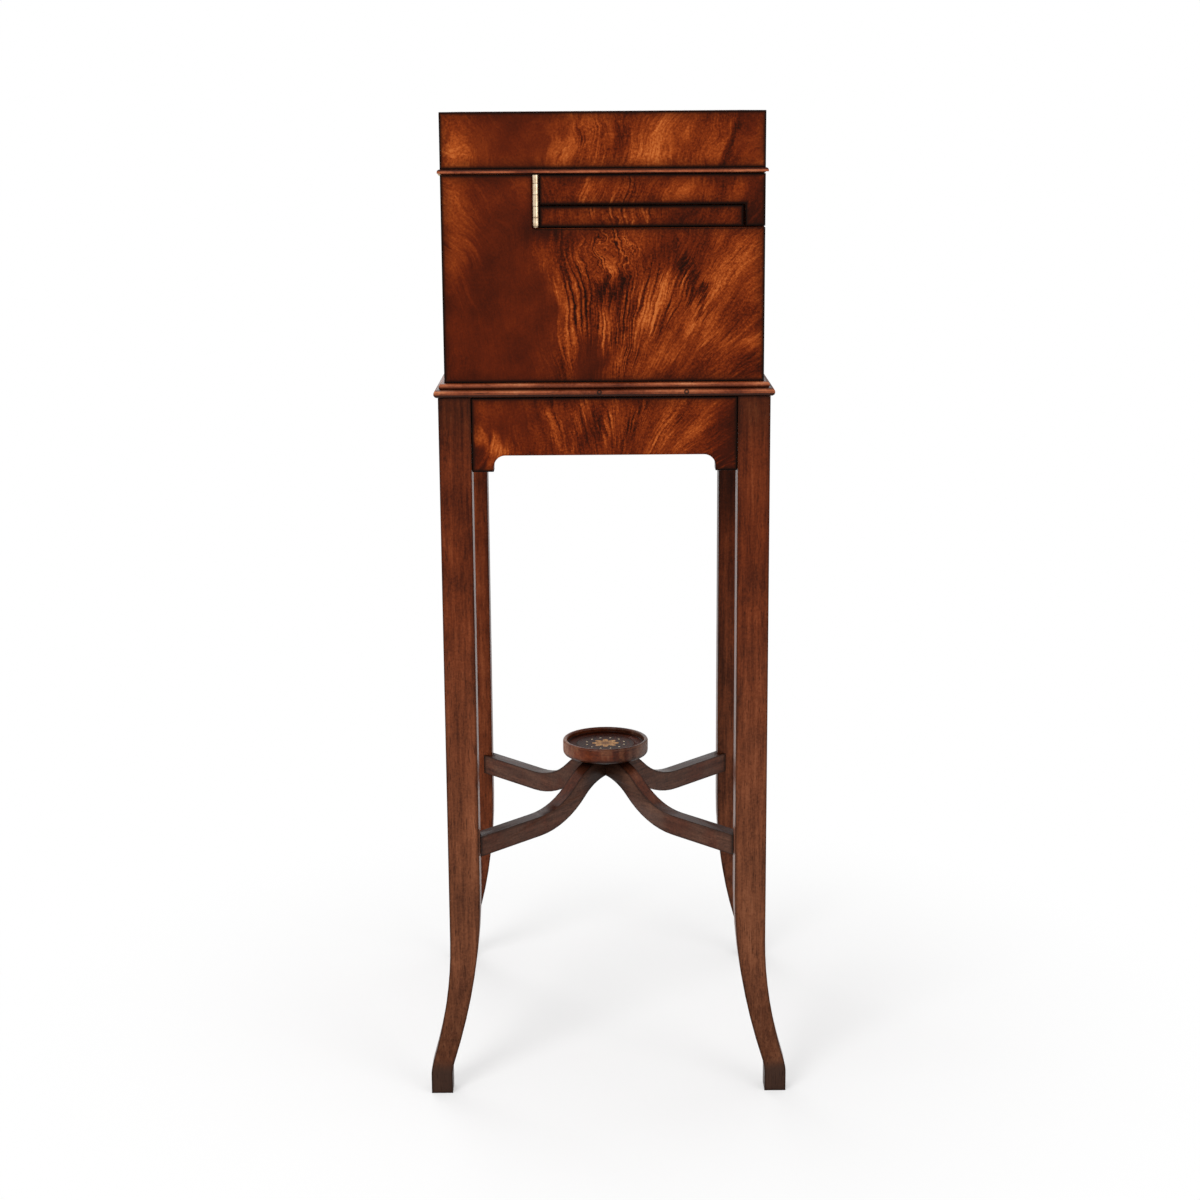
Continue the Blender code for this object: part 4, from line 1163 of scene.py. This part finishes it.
def dress_metal():
    finishes = [pale_metal(), screw_dirt_and_shade()]
    for name in NODES:
        if "hinge" in name:
            dress_node(name, finishes[:1], edge=METAL_EDGE)
    for side in ("left", "right"):
        hinge = f"lid_hinge_{side}_"
        low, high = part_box(hinge + "case_leaf")
        axis = (low.z + high.z) / 2
        spots = [(low.lerp(high, share).x, low.y + LID_LEAF_MIDDLE) for share in LID_SCREWS]
        for leaf, way in (("case_leaf", 1), ("lid_leaf", -1)):
            places = [(x, y, axis - way * LID_LEAF_FACE) for x, y in spots]
            dress_screws(hinge + leaf, places, (0, 0, way), finishes)
        hinge = f"arm_hinge_{side}_"
        for leaf, shares, way in ARM_SCREWS:
            low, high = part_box(hinge + leaf)
            x = math.copysign(min(abs(low.x), abs(high.x)) + ARM_LEAF_MIDDLE, low.x)
            y = (low.y + high.y) / 2 + way * ARM_LEAF_FACE
            places = [(x, y, low.lerp(high, share).z) for share in shares]
            dress_screws(hinge + leaf, places, (0, -way, 0), finishes)


# Stage

WORLD_LIGHT = 0.62
FLOOR_HALF = 6.0
# Distances between which the floor turns white, and how white it is at the first and at the last
FLOOR_FADE = (0.15, 0.70, 0.40, 1.0)
# The fitted camera: its place, its turns in radians, and its lens and sensor in millimetres
CAMERA_PLACE = Vector((-2.23343, 0.0129, 0.9556))
CAMERA_PITCH = 0.21842
CAMERA_ROLL = -0.00682
CAMERA_YAW = -0.00367
CAMERA_LENS = 66.386
CAMERA_SENSOR = 36.0
# Soft lights: place, width in metres and watts, all turned to one point
LIGHT_AIM = Vector((0, 0, 0.6))
LIGHTS = {
    "key": ((-2.6, 1.6, 2.4), 1.6, 52),
    "fill": ((-2.4, -2.2, 1.4), 2.0, 26),
    "back": ((2.2, 1.0, 2.2), 2.0, 22),
}


def add_camera():
    """Camera fitted to the corners of the case, the moulding, the feet and the dish in the photograph."""
    pitch, roll, yaw = CAMERA_PITCH, CAMERA_ROLL, CAMERA_YAW
    forward = Vector((math.cos(yaw) * math.cos(pitch), math.sin(yaw) * math.cos(pitch), -math.sin(pitch)))
    level = Vector((math.sin(yaw), -math.cos(yaw), 0))
    upright = level.cross(forward)
    right = level * math.cos(roll) + upright * math.sin(roll)
    up = upright * math.cos(roll) - level * math.sin(roll)
    data = bpy.data.cameras.new("camera")
    data.lens = CAMERA_LENS
    data.sensor_width = CAMERA_SENSOR
    camera = add_object("camera", data)
    turn = Matrix((right, up, -forward)).transposed().to_4x4()
    camera.matrix_world = Matrix.Translation(CAMERA_PLACE) @ turn
    bpy.context.scene.camera = camera


def add_lights():
    for name, (place, size, watts) in LIGHTS.items():
        data = bpy.data.lights.new(name, "AREA")
        data.shape = "DISK"
        data.size = size
        data.energy = watts
        light = add_object(name, data)
        light.location = place
        light.rotation_euler = (LIGHT_AIM - Vector(place)).to_track_quat("-Z", "Y").to_euler()


def seen_directly(tree):
    """One for rays from the camera, in reflections and through glass, nought for other light."""
    path = tree.nodes.new("ShaderNodeLightPath")
    seen = path.outputs["Is Camera Ray"]
    for other in ("Is Glossy Ray", "Is Transmission Ray"):
        either = tree.nodes.new("ShaderNodeMath")
        either.operation = "MAXIMUM"
        tree.links.new(seen, either.inputs[0])
        tree.links.new(path.outputs[other], either.inputs[1])
        seen = either.outputs[0]
    return seen


def choose_shader(tree, output, factor, first, second):
    choice = tree.nodes.new("ShaderNodeMixShader")
    tree.links.new(factor, choice.inputs[0])
    tree.links.new(first.outputs[0], choice.inputs[1])
    tree.links.new(second.outputs[0], choice.inputs[2])
    tree.links.new(choice.outputs[0], output.inputs["Surface"])


def add_world():
    world = bpy.data.worlds.new("studio")
    bpy.context.scene.world = world
    world.use_nodes = True
    tree = world.node_tree
    soft = tree.nodes["Background"]
    white = tree.nodes.new("ShaderNodeBackground")
    for background, strength in ((soft, WORLD_LIGHT), (white, 1.0)):
        background.inputs["Color"].default_value = (1, 1, 1, 1)
        background.inputs["Strength"].default_value = strength
    choose_shader(tree, tree.nodes["World Output"], seen_directly(tree), soft, white)


def add_floor():
    """Pale floor that keeps the shadow round the feet and turns plain white further out."""
    mesh = bpy.data.meshes.new("floor")
    work = bmesh.new()
    bmesh.ops.create_grid(work, x_segments=1, y_segments=1, size=FLOOR_HALF)
    work.to_mesh(mesh)
    work.free()
    floor = add_object("floor", mesh)
    f = Finish("floor", Roughness=0.9, Specular_IOR_Level=0.0)
    x, y = f.object_place()[:2]
    f.colour(f.ramp(f.noise(f.place(x, y), 3), ((0, (249, 249, 249)), (1, (252, 252, 252)))))
    outer = f.times(f.fade(f.distance(x, y), *FLOOR_FADE), seen_directly(f.tree))
    white = f.add("Emission", {"Color": (1, 1, 1, 1), "Strength": 1.0})
    choose_shader(f.tree, f.tree.nodes["Material Output"], outer, f.shader, white)
    mesh.materials.append(f.material)


def main():
    side = side_finishes()
    front = front_finishes()
    inner = [
        plain("inner_across", 90, tone=0.06, seed=12.0, satin=0.12),
        plain("inner_along", 0, tone=0.06, seed=11.0, satin=0.12),
    ]
    dress_case(side, front, inner)
    dress_mouldings()
    dress_stand(side, front)
    dress_arms(side)
    dress_inside(inner)
    dress_metal()
    add_camera()
    add_lights()
    add_world()
    add_floor()
    bpy.context.scene.view_settings.view_transform = "Standard"


main()
